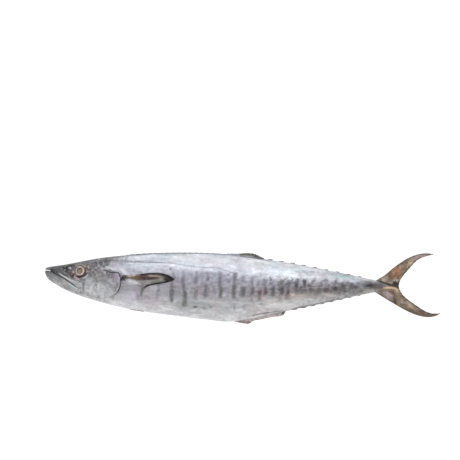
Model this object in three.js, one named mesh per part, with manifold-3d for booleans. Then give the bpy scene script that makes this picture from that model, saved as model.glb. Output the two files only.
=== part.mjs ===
// A whole raw fish, a narrow-barred mackerel, lying on its right flank with the left flank up.
//
// Millimetres. +X runs from the snout to the tail, +Y to the back of the fish and +Z up, out of the left flank.
// The fish is first drawn in its own measures: u is the distance behind the snout, t the height towards the
// back from the body's axis, and z the height above the surface that it lies on. At the end the whole is moved
// so that the origin is at the middle of its underside.
//
// Trunk, head and fins of a fish are one piece of flesh, skin and bone, so they are fused into one solid.
// The two eyeballs are loose in their sockets, and each is a solid of its own.

import * as THREE from 'three';
import { mergeVertices } from 'three/addons/utils/BufferGeometryUtils.js';
import Module from 'manifold-3d';

const { smoothstep, clamp } = THREE.MathUtils;

// ---------------------------------------------------------------- driving dimensions

const BODY_END = 606; // the scaly end of the trunk, tapering out over the root of the tail fin
const SNOUT_ROUNDING = 5;
const END_ROUNDING = 22;

// Outline of the trunk seen from its side: height of the back and of the belly along the fish.
const BACK = [
  [0, 4.2], [10, 8], [30, 12.2], [60, 19], [90, 26.2], [130, 32.6], [180, 38.4], [240, 42.4],
  [300, 44.2], [340, 43.2], [380, 39.6], [430, 34], [500, 23.4], [540, 16.8], [570, 11.8], [606, 8],
];
const BELLY = [
  [0, -5], [5, -10], [20, -20.5], [40, -30.8], [60, -38], [90, -46], [130, -54.5], [180, -61.8],
  [240, -66.6], [290, -70.6], [330, -72.4], [360, -68], [400, -58], [430, -49.6], [480, -36.6],
  [550, -18], [575, -11.6], [606, -8.5],
];
// Half of the thickness from flank to flank.
const HALF_THICKNESS = [
  [0, 3.4], [10, 6], [30, 11], [60, 17.2], [90, 22.3], [120, 25.6], [150, 28], [200, 30], [260, 30.4],
  [320, 28.6], [380, 24.6], [440, 19.6], [500, 13.6], [540, 9.6], [570, 7], [590, 5.4], [606, 3.6],
];
// Height of the middle plane of the fish: the limp body sinks until its lower flank lies on the surface.
const MIDDLE_HEIGHT = [
  [0, 13.8], [30, 17.6], [60, 21.4], [100, 24], [130, 25.2], [200, 26], [260, 25.8], [320, 24.4],
  [380, 22.4], [440, 19.4], [500, 14.2], [540, 11], [580, 8.8], [605, 7.2], [630, 5.2], [660, 4.2], [702, 4.8],
];
// Roundness of the cross-section: 2 is an ellipse, more is boxier.
const SECTION_POWER = [[0, 2], [60, 2.25], [150, 2.2], [400, 2.1], [606, 2]];

const FLOOR_SOFTNESS = 0.6; // how gently the flattened lower flank turns up from the surface
// The heavy middle of the trunk rests flat, half this long each way. Beyond it the flank lifts off a little.
const REST = { u: 272, half: 70, lift: 1.2, curve: 0.0006 };
const FIN_FLOOR = 0.06; // a fin pressed under the fish stays this far above its flat spot

const EYE = { u: 61.8, t: 4.4, radius: 9.6, depth: 5, proud: 2.3, gap: 0.35 };

const GILL_COVER_PROUD = 2.2;
const JAW_BONE_PROUD = 0.9;
const GROOVE_DEPTH = 1.8;
const EMBED = 0.6; // how deep a fused piece reaches into what carries it
const SLIVER = 0.04; // corners closer to their neighbours' surface than this are dropped at the end

const SKIN_AROUND = 36;
const SKIN_ALONG = 76;

// ---------------------------------------------------------------- small helpers

const wasm = await Module();
wasm.setup();

const at = ([x, y]) => new THREE.Vector2(x, y);
const line2 = (...points) => new THREE.SplineCurve(points.map(at));

// Reads a smooth curve through [station, value] pairs at any station.
function profile(pairs) {
  const curve = new THREE.CubicInterpolant(pairs.map((p) => p[0]), pairs.map((p) => p[1]), 1);
  const [first, last] = [pairs[0][0], pairs.at(-1)[0]];
  return (u) => curve.evaluate(clamp(u, first, last))[0];
}

// Makes a geometry's triangles a manifold-3d solid, turned outwards whichever way it was built.
function toSolid(geometry) {
  const bare = new THREE.BufferGeometry();
  bare.setAttribute('position', geometry.getAttribute('position'));
  bare.setIndex(geometry.index);
  const welded = mergeVertices(bare, 1e-4);
  const vertProperties = welded.attributes.position.array;
  const triVerts = new Uint32Array(welded.index.array);
  const solid = new wasm.Manifold(new wasm.Mesh({ numProp: 3, vertProperties, triVerts }));
  if (solid.volume() > 0) return solid;
  triVerts.reverse();
  return new wasm.Manifold(new wasm.Mesh({ numProp: 3, vertProperties, triVerts }));
}

function toGeometry(solid) {
  const { vertProperties, triVerts } = solid.getMesh();
  const geometry = new THREE.BufferGeometry();
  geometry.setAttribute('position', new THREE.BufferAttribute(vertProperties, 3));
  geometry.setIndex(new THREE.BufferAttribute(triVerts, 1));
  geometry.computeVertexNormals();
  return geometry;
}

// Moves every vertex of a geometry to where the function says.
function reshape(geometry, move) {
  const position = geometry.getAttribute('position');
  const v = new THREE.Vector3();
  for (let i = 0; i < position.count; i += 1) {
    v.fromBufferAttribute(position, i);
    position.setXYZ(i, ...move(v).toArray());
  }
  return geometry;
}

const join = (solids) => wasm.Manifold.union(solids);

// ---------------------------------------------------------------- the skin of the trunk and head

const back = profile(BACK);
const belly = profile(BELLY);
const halfThickness = profile(HALF_THICKNESS);
const middleHeight = profile(MIDDLE_HEIGHT);
const sectionPower = profile(SECTION_POWER);

// The trunk rounds off over its first and last few millimetres.
function endRounding(u) {
  const fromSnout = clamp(u / SNOUT_ROUNDING, 0, 1);
  const fromEnd = clamp((BODY_END - u) / END_ROUNDING, 0, 1);
  return Math.sqrt(1 - (1 - fromSnout) ** 2) * Math.sqrt(1 - (1 - fromEnd) ** 2);
}

// How far the lower flank stays off the surface at a station.
function clearance(u) {
  const beyond = Math.max(Math.abs(u - REST.u) - REST.half, 0);
  return REST.lift * (1 - Math.exp((-REST.curve * beyond ** 2) / REST.lift));
}

// The lower flank is pressed flat where it meets the surface.
function onFloor(z, floor = 0) {
  const above = z - floor;
  if (above >= FLOOR_SOFTNESS) return z;
  if (above <= -FLOOR_SOFTNESS) return floor;
  return floor + (above + FLOOR_SOFTNESS) ** 2 / (4 * FLOOR_SOFTNESS);
}

function section(u) {
  const rounding = endRounding(u);
  const [top, bottom] = [back(u), belly(u)];
  return {
    middle: (top + bottom) / 2,
    half: ((top - bottom) / 2) * rounding,
    thick: halfThickness(u) * rounding,
    power: sectionPower(u),
  };
}

// A point of the skin at height t on a flank (+1 upper, -1 lower), standing off it by some millimetres.
function onSkin(u, t, flank, off, floor = 0) {
  const s = section(u);
  const reach = clamp(Math.abs((t - s.middle) / (s.half + off)), 0, 1);
  const out = (1 - reach ** s.power) ** (1 / s.power);
  return new THREE.Vector3(u, t, onFloor(middleHeight(u) + flank * (s.thick + off) * out, clearance(u) + floor));
}

// Where the rings of the skin lie, closer together on the head and at the end of the trunk.
const ringStation = profile([[0, 0], [0.05, 3.5], [0.14, 16], [0.45, 140], [0.86, 520], [1, BODY_END]]);

// The closed skin, standing off its true place by off(u, t).
function skinSolid(off) {
  const ball = new THREE.SphereGeometry(1, SKIN_AROUND, SKIN_ALONG);
  reshape(ball, (v) => {
    const u = ringStation(Math.acos(clamp(v.y, -1, 1)) / Math.PI);
    const s = section(u);
    const turn = Math.atan2(v.z, v.x);
    const curl = (x) => Math.sign(x) * Math.abs(x) ** (2 / s.power);
    const open = Math.abs(v.y) > 1 - 1e-9 ? 0 : 1;
    const t = s.middle + s.half * curl(Math.cos(turn)) * open;
    const stand = off(u, t) * open;
    const z = middleHeight(u) + (s.thick + stand) * curl(Math.sin(turn)) * open;
    const outwards = Math.sign(t - s.middle) * stand * Math.abs(curl(Math.cos(turn)));
    return new THREE.Vector3(u, t + outwards, onFloor(z, clearance(u)));
  });
  return toSolid(ball);
}

// ---------------------------------------------------------------- relief of the head

const THROUGH = 200; // longer than the fish is thick

function prism(shape) {
  const geometry = new THREE.ExtrudeGeometry(shape, { depth: THROUGH, bevelEnabled: false, curveSegments: 3 });
  return toSolid(geometry.translate(0, 0, -THROUGH / 2));
}

// A raised plate: the part of a thicker skin that lies inside an outline.
function plate(outline, off) {
  const shape = new THREE.Shape();
  shape.moveTo(...outline[0]);
  shape.splineThru(outline.slice(1).map(at));
  shape.closePath();
  return skinSolid(off).intersect(prism(shape));
}

// A groove along a line of the head, as deep as GROOVE_DEPTH.
function groove(points, widthAt, core) {
  const path = line2(...points);
  const steps = 12;
  const sides = [[], []];
  for (let i = 0; i <= steps; i += 1) {
    const p = path.getPointAt(i / steps);
    const n = path.getTangentAt(i / steps);
    const reach = widthAt(i / steps) / 2;
    sides[0].push(new THREE.Vector2(p.x - n.y * reach, p.y + n.x * reach));
    sides[1].unshift(new THREE.Vector2(p.x + n.y * reach, p.y - n.x * reach));
  }
  return prism(new THREE.Shape([...sides[0], ...sides[1]])).subtract(core);
}

// The gill cover stands proud of the shoulder behind it, and fades into the cheek in front.
function gillCover() {
  const off = (u, t) => {
    const towardsBack = smoothstep(t, -8, 6) * (1 - smoothstep(u, 98, 122));
    const towardsBelly = smoothstep(-t, 30, 54);
    const rise = smoothstep(u, 58, 112) * (1 - towardsBack) * (1 - towardsBelly);
    return -EMBED + (GILL_COVER_PROUD + EMBED) * rise;
  };
  return plate([
    [50, 6.5], [104, 7.2], [113, 6.2], [122, 4], [130, 4], [134, 0], [135.6, -9], [135.3, -18],
    [133, -26], [128.5, -33], [120, -39.5], [108, -46], [96, -53], [70, -62], [50, -60], [48, -30],
  ], off);
}

// The upper jaw bone runs from the snout to a rounded end below the eye.
function upperJawBone() {
  const off = (u) => -EMBED + (JAW_BONE_PROUD + EMBED) * smoothstep(u, 6, 30);
  return plate([
    [4, 3], [14, 2], [26, -1], [38, -7.5], [50, -12], [60, -13.8], [68, -17], [70.8, -22],
    [68, -26.6], [60, -26], [50, -20], [40, -14.5], [28, -8], [16, -2.4], [6, 1],
  ], off);
}

// The gape: an open notch between the tips of the jaws, and a groove from there to the corner of the mouth.
const GAPE = [[9, 0.6], [20, -3.6], [34, -11], [50, -20.6], [62, -28], [68, -29.4]];

function openNotch() {
  const shape = new THREE.Shape();
  shape.moveTo(-4, 4.8);
  shape.lineTo(2.4, 4.5);
  shape.quadraticCurveTo(7, 3.6, 11.5, 0.6);
  shape.quadraticCurveTo(7, 1.4, 3, 1.1);
  shape.lineTo(-4, 0.4);
  return prism(shape);
}

// ---------------------------------------------------------------- fins

// Fills the blade of a fin in between its root, first ray, last ray and margin.
function bladePoint({ root, first, last, margin }, a, b) {
  const mix = (p, q, k) => p.clone().lerp(q, k);
  const sides = mix(first.getPointAt(a), last.getPointAt(a), b);
  const ends = mix(root.getPointAt(b), margin.getPointAt(b), a);
  const corners = mix(mix(first.getPoint(0), last.getPoint(0), b), mix(first.getPoint(1), last.getPoint(1), b), a);
  return sides.add(ends).sub(corners);
}

// A thin blade with rays in low relief. place(u, t, off, a) puts it in space.
function fin({ curves, rays, rows, thick, thin, place, ripple = 0.14 }) {
  const slab = new THREE.BoxGeometry(1, 1, 1, rows, rays * 2, 1);
  reshape(slab, (v) => {
    const [a, b] = [v.x + 0.5, v.y + 0.5];
    const p = bladePoint(curves, a, b);
    const taper = THREE.MathUtils.lerp(thick, thin, Math.sqrt(a)) * (1 - 0.35 * b);
    const ray = ripple * Math.cos(2 * Math.PI * rays * b) * smoothstep(a, 0, 0.3);
    return place(p.x, p.y, Math.sign(v.z) * (taper / 2 + ray), a);
  });
  return toSolid(slab);
}

// Fins of the middle plane stand in it.
const inMiddle = (u, t, off) => new THREE.Vector3(u, t, Math.max(middleHeight(u) + off, 0.1));

function tailFin() {
  const upper = {
    first: line2([577, 7.4], [588, 12.8], [602, 23], [620, 38.6], [640, 52.8], [655, 59.4], [670, 62.2], [685, 60]),
    margin: line2([685, 59.6], [672, 57.6], [660, 52.3], [650, 42.5], [640, 31], [630, 17], [625.4, 8], [625, 0]),
    last: line2([586, -2], [625, 0]),
    root: line2([577, 7.4], [586, -2]),
  };
  const lower = {
    first: line2(
      [577, -8.6], [590, -15.2], [602, -21.4], [620, -31], [640, -41], [655, -46.8], [670, -50.3],
      [684, -50.3], [694, -47.8], [701, -42.6],
    ),
    margin: line2(
      [701, -42.2], [693, -43.9], [684, -43.8], [674, -40.6], [660, -32.3], [645, -22.8], [633, -13.6],
      [627, -5], [625, 3],
    ),
    last: line2([586, 3], [625, 3]),
    root: line2([577, -8.6], [586, 3]),
  };
  const made = { rays: 9, rows: 9, thick: 4.4, thin: 1.4, place: inMiddle, ripple: 0.2 };
  return [fin({ ...made, curves: upper }), fin({ ...made, curves: lower })];
}

// The keel on each side of the tail's root, and two small ones that close in behind it.
function tailKeels() {
  const ridge = (u, t, length, height, reach, turn) => {
    const ball = new THREE.SphereGeometry(1, 8, 8);
    ball.scale(length / 2, height / 2, reach);
    ball.rotateZ(turn);
    ball.translate(u, t, middleHeight(u));
    return toSolid(reshape(ball, (v) => v.setZ(Math.max(v.z, FIN_FLOOR))));
  };
  return [
    ridge(578, 0, 46, 4.8, 7.5, 0),
    ridge(597, 5.2, 24, 2.4, 4.8, -0.24),
    ridge(597, -5.6, 24, 2.4, 4.8, 0.24),
  ];
}

// The pectoral fins lie back along the flanks: root behind the gill cover, long upper rays, hollow margin.
function pectoralFin(flank) {
  const curves = {
    first: line2([141, -1], [158, 2], [175, 4.6], [192, 6.8], [208, 6], [220, 2.4], [229.5, -2.8]),
    margin: line2([229.5, -3.4], [218, -7.2], [203, -10], [188, -13.5], [177, -20], [172.6, -30], [169, -42]),
    last: line2([138.5, -12], [150, -25], [168, -42]),
    root: line2([141, -1], [138.5, -12]),
  };
  const place = (u, t, off, a) => onSkin(u, t, flank, 0.1 + 1.1 * smoothstep(a, 0.2, 1) + off, FIN_FLOOR);
  return fin({ curves, rays: 7, rows: 8, thick: 2.4, thin: 1.2, place });
}

// The pelvic fins are folded against the keel of the belly.
function pelvicFin(flank) {
  const curves = {
    first: line2([150, 5.2], [164, 5.6], [178, 4.4]),
    margin: line2([178, 3.9], [172, 2.6], [166, 1.2]),
    last: line2([150, 1], [158, 0.8], [166, 0.7]),
    root: line2([150, 5.2], [150, 1]),
  };
  const place = (u, across, off) => {
    const s = section(u);
    const slope = (across / s.thick) ** 2;
    return new THREE.Vector3(u, s.middle - s.half * Math.sqrt(1 - slope) - off, middleHeight(u) + flank * across);
  };
  return fin({ curves, rays: 3, rows: 4, thick: 2.2, thin: 1.3, place, ripple: 0 });
}

// The spiny first back fin, laid down in its groove: a low ridge with the spine tips as notches.
function foldedBackFin() {
  const [from, to, spines] = [142, 316, 15];
  const crest = [];
  const foot = [];
  for (let i = 0; i <= spines; i += 1) {
    const u = THREE.MathUtils.lerp(from, to, i / spines);
    const height = 1.5 * Math.sqrt(1 - (2 * i / spines - 1) ** 4) * (i % 2 ? 1 : 0.7);
    crest.push([u, back(u) + height]);
    foot.push([u, back(u) - 3]);
  }
  const curves = {
    first: line2([from, back(from) - 3], [from, back(from)]),
    margin: line2(...crest),
    last: line2([to, back(to) - 3], [to, back(to)]),
    root: line2(...foot),
  };
  return fin({ curves, rays: spines, rows: 1, thick: 3, thin: 1.6, place: inMiddle, ripple: 0 });
}

// A fin folded along the edge of the body, given by its margin from front to back.
function foldedEdgeFin(edge, inward, margin, rays) {
  const [from, to] = [margin[0][0], margin.at(-1)[0]];
  const foot = [0, 0.25, 0.5, 0.75, 1].map((k) => {
    const u = THREE.MathUtils.lerp(from, to, k);
    return [u, edge(u) + inward];
  });
  const curves = {
    first: line2(foot[0], margin[0]),
    margin: line2(...margin),
    last: line2(foot.at(-1), margin.at(-1)),
    root: line2(...foot),
  };
  return fin({ curves, rays, rows: 3, thick: 3.4, thin: 1.5, place: inMiddle });
}

function secondBackFin() {
  const margin = [
    [317, 43.6], [322, 46], [328, 47.2], [336, 46.6], [345, 48], [356, 48.9], [365, 48.2], [371, 45.4],
    [378, 43.4], [386, 41.2], [391, 38],
  ];
  return foldedEdgeFin(back, -4, margin, 9);
}

function analFin() {
  const margin = [
    [344, -70.8], [350, -74.2], [358, -76.4], [365, -74.6], [370, -70.8], [382, -68.2], [395, -65.4],
    [408, -62.6], [420, -60.2], [424, -54], [430, -49],
  ];
  return foldedEdgeFin(belly, 5, margin, 9);
}

// Finlets: small separate flags in a row behind the back fin and the anal fin, leaning back.
function finlets() {
  const flag = (u, edge, side, length, rise) => {
    const point = (along, up) => [u + along, edge(u + along) + side * up];
    const curves = {
      first: line2(point(0, -2.5), point(length * 0.5, rise * 0.8), point(length, rise)),
      margin: line2(point(length, rise), point(length * 0.88, rise * 0.4), point(length * 0.72, -2)),
      last: line2(point(length * 0.45, -2.5), point(length * 0.72, -2)),
      root: line2(point(0, -2.5), point(length * 0.45, -2.5)),
    };
    return fin({ curves, rays: 1, rows: 3, thick: 2, thin: 1.3, place: inMiddle, ripple: 0 });
  };
  const row = (from, to, count, edge, side, length, rise) => Array.from({ length: count }, (_, i) => {
    const k = i / (count - 1);
    return flag(THREE.MathUtils.lerp(from, to, k), edge, side, length * (1 - 0.25 * k), rise * (1 - 0.3 * k));
  });
  return [...row(388, 549, 9, back, 1, 15, 2), ...row(436, 548, 7, belly, -1, 14, 1.8)];
}

// ---------------------------------------------------------------- eyes

// An eyeball is a ball pressed flat along its line of sight. Its socket holds it a little below the skin.
function eyeBall(flank, grow) {
  const step = 1;
  const here = onSkin(EYE.u, EYE.t, flank, 0);
  const along = onSkin(EYE.u + step, EYE.t, flank, 0).sub(here);
  const up = onSkin(EYE.u, EYE.t + step, flank, 0).sub(here);
  const outward = along.cross(up).normalize().multiplyScalar(flank);
  const ball = new THREE.SphereGeometry(1, 20, 12);
  ball.rotateX(Math.PI / 2);
  ball.scale(EYE.radius + grow, EYE.radius + grow, EYE.depth + grow);
  ball.applyQuaternion(new THREE.Quaternion().setFromUnitVectors(new THREE.Vector3(0, 0, 1), outward));
  const centre = here.addScaledVector(outward, EYE.proud - EYE.depth);
  return toSolid(ball.translate(...centre.toArray()));
}

// ---------------------------------------------------------------- the whole fish

function fishBody() {
  const trunk = skinSolid(() => 0);
  const core = skinSolid(() => -GROOVE_DEPTH);
  const head = join([trunk, gillCover(), upperJawBone()])
    .subtract(groove(GAPE, (k) => 1.8 - 0.7 * k, core))
    .subtract(openNotch());
  const whole = join([
    head, ...tailFin(), ...tailKeels(), pectoralFin(1), pectoralFin(-1), pelvicFin(1), pelvicFin(-1),
    foldedBackFin(), secondBackFin(), analFin(), ...finlets(),
  ]);
  return whole.subtract(eyeBall(1, EYE.gap)).subtract(eyeBall(-1, EYE.gap)).simplify(SLIVER);
}

const SKIN = new THREE.MeshStandardMaterial({ color: 0xb4b8c0, roughness: 0.35, metalness: 0.3 });
const IRIS = new THREE.MeshStandardMaterial({ color: 0xc9b48c, roughness: 0.12, metalness: 0 });

function named(name, solid, material) {
  const mesh = new THREE.Mesh(toGeometry(solid), material);
  mesh.name = name;
  return mesh;
}

const fish = new THREE.Group();
fish.add(
  named('fish', fishBody(), SKIN),
  named('eye_left', eyeBall(1, 0), IRIS),
  named('eye_right', eyeBall(-1, 0), IRIS),
);

const box = new THREE.Box3().setFromObject(fish);
const centre = box.getCenter(new THREE.Vector3());
fish.position.set(-centre.x, -centre.y, -box.min.z);

export default fish;
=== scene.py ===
"""A whole raw barred mackerel, lying on its right flank on a pale floor.

The snout points to -X, the back of the fish to +Y and its left flank up. Lengths in the tables are
millimetres in the fish's own measures: u behind the snout, t towards the back, z above the floor.
"""

import math
from contextlib import contextmanager

import bmesh
import bpy
import numpy as np
from mathutils import Matrix, Vector


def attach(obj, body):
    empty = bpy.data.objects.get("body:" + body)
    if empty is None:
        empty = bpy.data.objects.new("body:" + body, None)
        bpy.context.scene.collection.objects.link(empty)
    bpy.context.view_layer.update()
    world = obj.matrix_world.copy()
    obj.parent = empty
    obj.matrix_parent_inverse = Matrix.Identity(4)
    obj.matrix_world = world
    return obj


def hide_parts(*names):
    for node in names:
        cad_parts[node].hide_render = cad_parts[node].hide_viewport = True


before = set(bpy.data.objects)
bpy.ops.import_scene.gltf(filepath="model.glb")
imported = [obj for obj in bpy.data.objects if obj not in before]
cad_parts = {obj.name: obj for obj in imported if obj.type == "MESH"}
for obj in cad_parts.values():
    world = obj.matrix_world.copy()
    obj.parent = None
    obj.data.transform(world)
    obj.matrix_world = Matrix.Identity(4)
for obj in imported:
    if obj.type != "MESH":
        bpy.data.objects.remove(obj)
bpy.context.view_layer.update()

MM = 0.001
SNOUT_X = -350.5  # where the snout and the body's axis lie in the frame
AXIS_Y = 7.283

# ---------------------------------------------------------------- the fish's measures

BODY_END = 606.0
SNOUT_ROUNDING = 5.0
END_ROUNDING = 34.0
BACK = [
    (0, 5.2), (10, 8.8), (30, 12.7), (60, 19.7), (90, 26.9), (130, 33.6), (180, 38.8), (240, 42.6),
    (300, 44.4), (340, 43.4), (380, 39.8), (430, 34.4), (500, 24.2), (540, 17.9), (570, 12.8), (606, 8),
]
BELLY = [
    (0, -6), (5, -11.6), (20, -21.6), (40, -31.4), (60, -38.6), (90, -46.7), (130, -55.8), (180, -62.8),
    (240, -68.2), (290, -72.2), (330, -73.8), (360, -68.6), (400, -58.2), (430, -50.4), (480, -37.8),
    (550, -19.2), (575, -12.8), (606, -8.5),
]
HALF_THICKNESS = [
    (0, 3.4), (10, 6), (30, 11), (60, 17.2), (90, 22.3), (120, 25.6), (150, 28), (200, 30), (260, 30.4),
    (320, 28.6), (380, 24.6), (440, 19.6), (500, 13.6), (540, 9.6), (570, 6.8), (590, 4.6), (606, 2.6),
]
MIDDLE_HEIGHT = [
    (0, 13.8), (30, 17.6), (60, 21.4), (100, 24), (130, 25.2), (200, 26), (260, 25.8), (320, 24.4),
    (380, 22.4), (440, 19.4), (500, 14.2), (540, 11), (580, 8.8), (605, 7.2), (630, 5.2), (660, 4.2),
    (702, 4.8),
]
SECTION_POWER = [(0, 2), (60, 2.25), (150, 2.2), (400, 2.1), (606, 2)]
# The trunk rests on the floor around REST_U, for REST_HALF each way, and beyond that it lifts off a little.
REST_U, REST_HALF, REST_LIFT, REST_CURVE = 272.0, 70.0, 1.2, 0.0006
KEEL_T = 0.6
EYE_U, EYE_T, EYE_RADIUS, EYE_DEPTH, EYE_PROUD = 63.0, 4.2, 9.4, 5.0, 2.3
PUPIL_RADIUS, PUPIL_RING, EYE_RIM = 4.6, 4.9, 9.5
HEAD_END = 150.0
HEAD_STEP, TRUNK_STEP = 3.0, 8.4  # from ring to ring of the body
RING_POINTS = 52
SNOUT_TIP, END_TIP = 0.6, 1.5  # how far the skin closes beyond its first and last ring
BACK_SPINES = 18  # rays of the first back fin
FIN_ROOT, FINLET_ROOT = 3.0, 2.4  # how far their roots lie inside the edge of the body
FIN_CREASE, SKIN_CREASE = 60, 50  # degrees past which an edge stays sharp in the shading


class Profile:
    """A smooth curve through (station, value) pairs."""

    def __init__(self, pairs):
        self.at, self.value = np.array(pairs, float).T
        self.slope = np.gradient(self.value, self.at)

    def __call__(self, u):
        u = np.clip(np.asarray(u, float), self.at[0], self.at[-1])
        i = np.clip(np.searchsorted(self.at, u, side="right") - 1, 0, len(self.at) - 2)
        span = self.at[i + 1] - self.at[i]
        s = (u - self.at[i]) / span
        a, b = self.value[i], self.value[i + 1]
        p, q = self.slope[i] * span, self.slope[i + 1] * span
        return a + s * p + s * s * (3 * (b - a) - 2 * p - q) + s**3 * (2 * (a - b) + p + q)


back, belly = Profile(BACK), Profile(BELLY)
half_thickness, middle_height = Profile(HALF_THICKNESS), Profile(MIDDLE_HEIGHT)
section_power = Profile(SECTION_POWER)


def smooth(x, low, high):
    """0 below low, 1 above high and an even step between them."""
    s = np.clip((np.asarray(x, float) - low) / (high - low), 0, 1)
    return s * s * (3 - 2 * s)


def hump(x, width, y=0.0, height=1.0):
    """A rounded rise to 1 where x and y are 0, about as wide and as high as given."""
    return np.exp(-((x / width) ** 2) - (y / height) ** 2)


def place(u, t, z):
    """The point of the frame, in metres, that the fish's own measures name."""
    return Vector(((u + SNOUT_X) * MM, (t + AXIS_Y) * MM, z * MM))


def end_rounding(u):
    """How much of its full section the body has at a station: less near its two ends."""
    from_snout = np.clip(u / SNOUT_ROUNDING, 0, 1)
    from_end = np.clip((BODY_END - u) / END_ROUNDING, 0, 1)
    return np.sqrt(1 - (1 - from_snout) ** 2) * np.sqrt(1 - (1 - from_end) ** 2)


def ring(u):
    """Middle, half depth and half thickness of the body at a station."""
    rounding = end_rounding(u)
    return (back(u) + belly(u)) / 2, (back(u) - belly(u)) / 2 * rounding, half_thickness(u) * rounding


def inner_ring(u):
    """The same as ring, but never at the very tips, where there is no depth to divide by."""
    return ring(np.clip(u, 1, BODY_END - 1))


def clearance(u):
    """How far the lower flank stays off the floor."""
    beyond = np.clip(np.abs(u - REST_U) - REST_HALF, 0, None)
    return REST_LIFT * (1 - np.exp(-REST_CURVE * beyond**2 / REST_LIFT))


def on_skin(u, t, flank):
    """A point of the skin's surface, with flank 1 on the left side of the fish and -1 on its right."""
    middle, half, thick = ring(u)
    power = section_power(u)
    reach = np.clip(abs((t - middle) / half), 0, 1)
    return place(u, t, float(middle_height(u) + flank * (thick * (1 - reach**power) ** (1 / power))))


def smooth_line(points, steps=6):
    """The points of a smooth curve through the given ones."""
    points = np.array(points, float)
    param = np.arange(len(points))
    fine = np.linspace(0, len(points) - 1, (len(points) - 1) * steps + 1)
    return np.stack([Profile(list(zip(param, column)))(fine) for column in points.T], axis=1)


def from_line(points, u, t):
    """Distance of each (u, t) from a line, positive to the right of its run, and how far along it that is."""
    line = smooth_line(points)
    lengths = np.linalg.norm(np.diff(line, axis=0), axis=1)
    starts = np.concatenate([[0], np.cumsum(lengths)])
    best, sign, along = np.full(len(u), 1e9), np.ones(len(u)), np.zeros(len(u))
    for a, b, length, start in zip(line[:-1], line[1:], lengths, starts):
        run = (b - a) / length
        du, dt = u - a[0], t - a[1]
        s = np.clip(du * run[0] + dt * run[1], 0, length)
        far = np.hypot(du - s * run[0], dt - s * run[1])
        near = far < best
        best[near] = far[near]
        sign[near] = np.where(du * run[1] - dt * run[0] > 0, 1, -1)[near]
        along[near] = ((start + s) / starts[-1])[near]
    return best * sign, along


# ---------------------------------------------------------------- tools of the modelling bench


def deselect():
    """Leaves edit mode and selects nothing."""
    if bpy.context.object and bpy.context.object.mode != "OBJECT":
        bpy.ops.object.mode_set(mode="OBJECT")
    bpy.ops.object.select_all(action="DESELECT")


def pick(piece):
    """Makes the piece the only one that operators act on."""
    deselect()
    piece.select_set(True)
    bpy.context.view_layer.objects.active = piece


@contextmanager
def editing(piece, select="SELECT"):
    """Edit mode for as long as the block runs, with everything selected or nothing."""
    pick(piece)
    bpy.ops.object.mode_set(mode="EDIT")
    bpy.ops.mesh.select_all(action=select)
    yield
    bpy.ops.object.mode_set(mode="OBJECT")


def face_outwards():
    """Turns the faces of the mesh in edit mode outwards."""
    bpy.ops.mesh.select_all(action="SELECT")
    bpy.ops.mesh.normals_make_consistent(inside=False)


def settle(piece):
    """Puts the object at the origin, with its place in its mesh."""
    pick(piece)
    bpy.ops.object.transform_apply(location=True, rotation=True, scale=True)
    return piece


def finish_with(piece, kind, **settings):
    """Adds a modifier and applies it."""
    pick(piece)
    made = piece.modifiers.new(kind.title(), kind)
    for key, value in settings.items():
        setattr(made, key, value)
    bpy.ops.object.modifier_apply(modifier=made.name)


def subdivide(piece, levels, **settings):
    """Rounds the piece by subdivision surfaces."""
    finish_with(piece, "SUBSURF", levels=levels, render_levels=levels, **settings)


def group_of(piece, name, weights):
    """A vertex group with one weight from 0 to 1 for each vertex."""
    group = piece.vertex_groups.new(name=name)
    for i, weight in enumerate(weights.tolist()):
        if weight > 0:
            group.add([i], weight, "REPLACE")
    return name


def raise_by(piece, amounts, direction="NORMAL"):
    """Moves each vertex by its own number of millimetres."""
    for way in (1, -1):
        wanted = np.clip(amounts * way, 0, None)
        reach = wanted.max()
        if reach > 1e-6:
            name = group_of(piece, "raised", wanted / reach)
            finish_with(
                piece, "DISPLACE", direction=direction, vertex_group=name, mid_level=0,
                strength=way * reach * MM,
            )
            piece.vertex_groups.clear()


def coordinates(piece):
    """x, y and z of every vertex, in millimetres."""
    co = np.empty(len(piece.data.vertices) * 3)
    piece.data.vertices.foreach_get("co", co)
    return co.reshape(-1, 3).T / MM


def measures(piece):
    """u, t and z of every vertex, in millimetres."""
    x, y, z = coordinates(piece)
    return x - SNOUT_X, y - AXIS_Y, z


def note(piece, name, values):
    """Stores one number for each vertex, for the materials to read."""
    if name in piece.data.attributes:
        piece.data.attributes.remove(piece.data.attributes[name])
    layer = piece.data.attributes.new(name, "FLOAT", "POINT")
    layer.data.foreach_set("value", np.asarray(values, np.float32))


def noted(piece, name):
    """Reads back what note has stored."""
    values = np.empty(len(piece.data.vertices), np.float32)
    piece.data.attributes[name].data.foreach_get("value", values)
    return values


LINE_REACH = 8  # millimetres beside a line, past which its distance no longer matters


def note_line(piece, name, points, fade):
    """Stores each vertex's distance from a line and the line's strength there, which fades at its ends."""
    u, t, _ = measures(piece)
    far, along = from_line(points, u, t)
    note(piece, name, np.clip(far, -LINE_REACH, LINE_REACH))
    note(piece, name + " strength", smooth(along, 0, fade) * smooth(1 - along, 0, fade))


def smooth_shaded(piece, degrees=180):
    """Shades the piece smoothly over every edge that is no sharper than this."""
    pick(piece)
    bpy.ops.object.shade_smooth_by_angle(angle=math.radians(degrees))


def hand_in(piece, material, slot, *nodes):
    """Gives a finished piece its material and its body, and hides the nodes that it stands for. slot is not
    used.
    """
    piece.data.materials.clear()
    piece.data.materials.append(material)
    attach(piece, "root")
    for node in nodes:
        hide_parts(node)


# ---------------------------------------------------------------- paint

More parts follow.
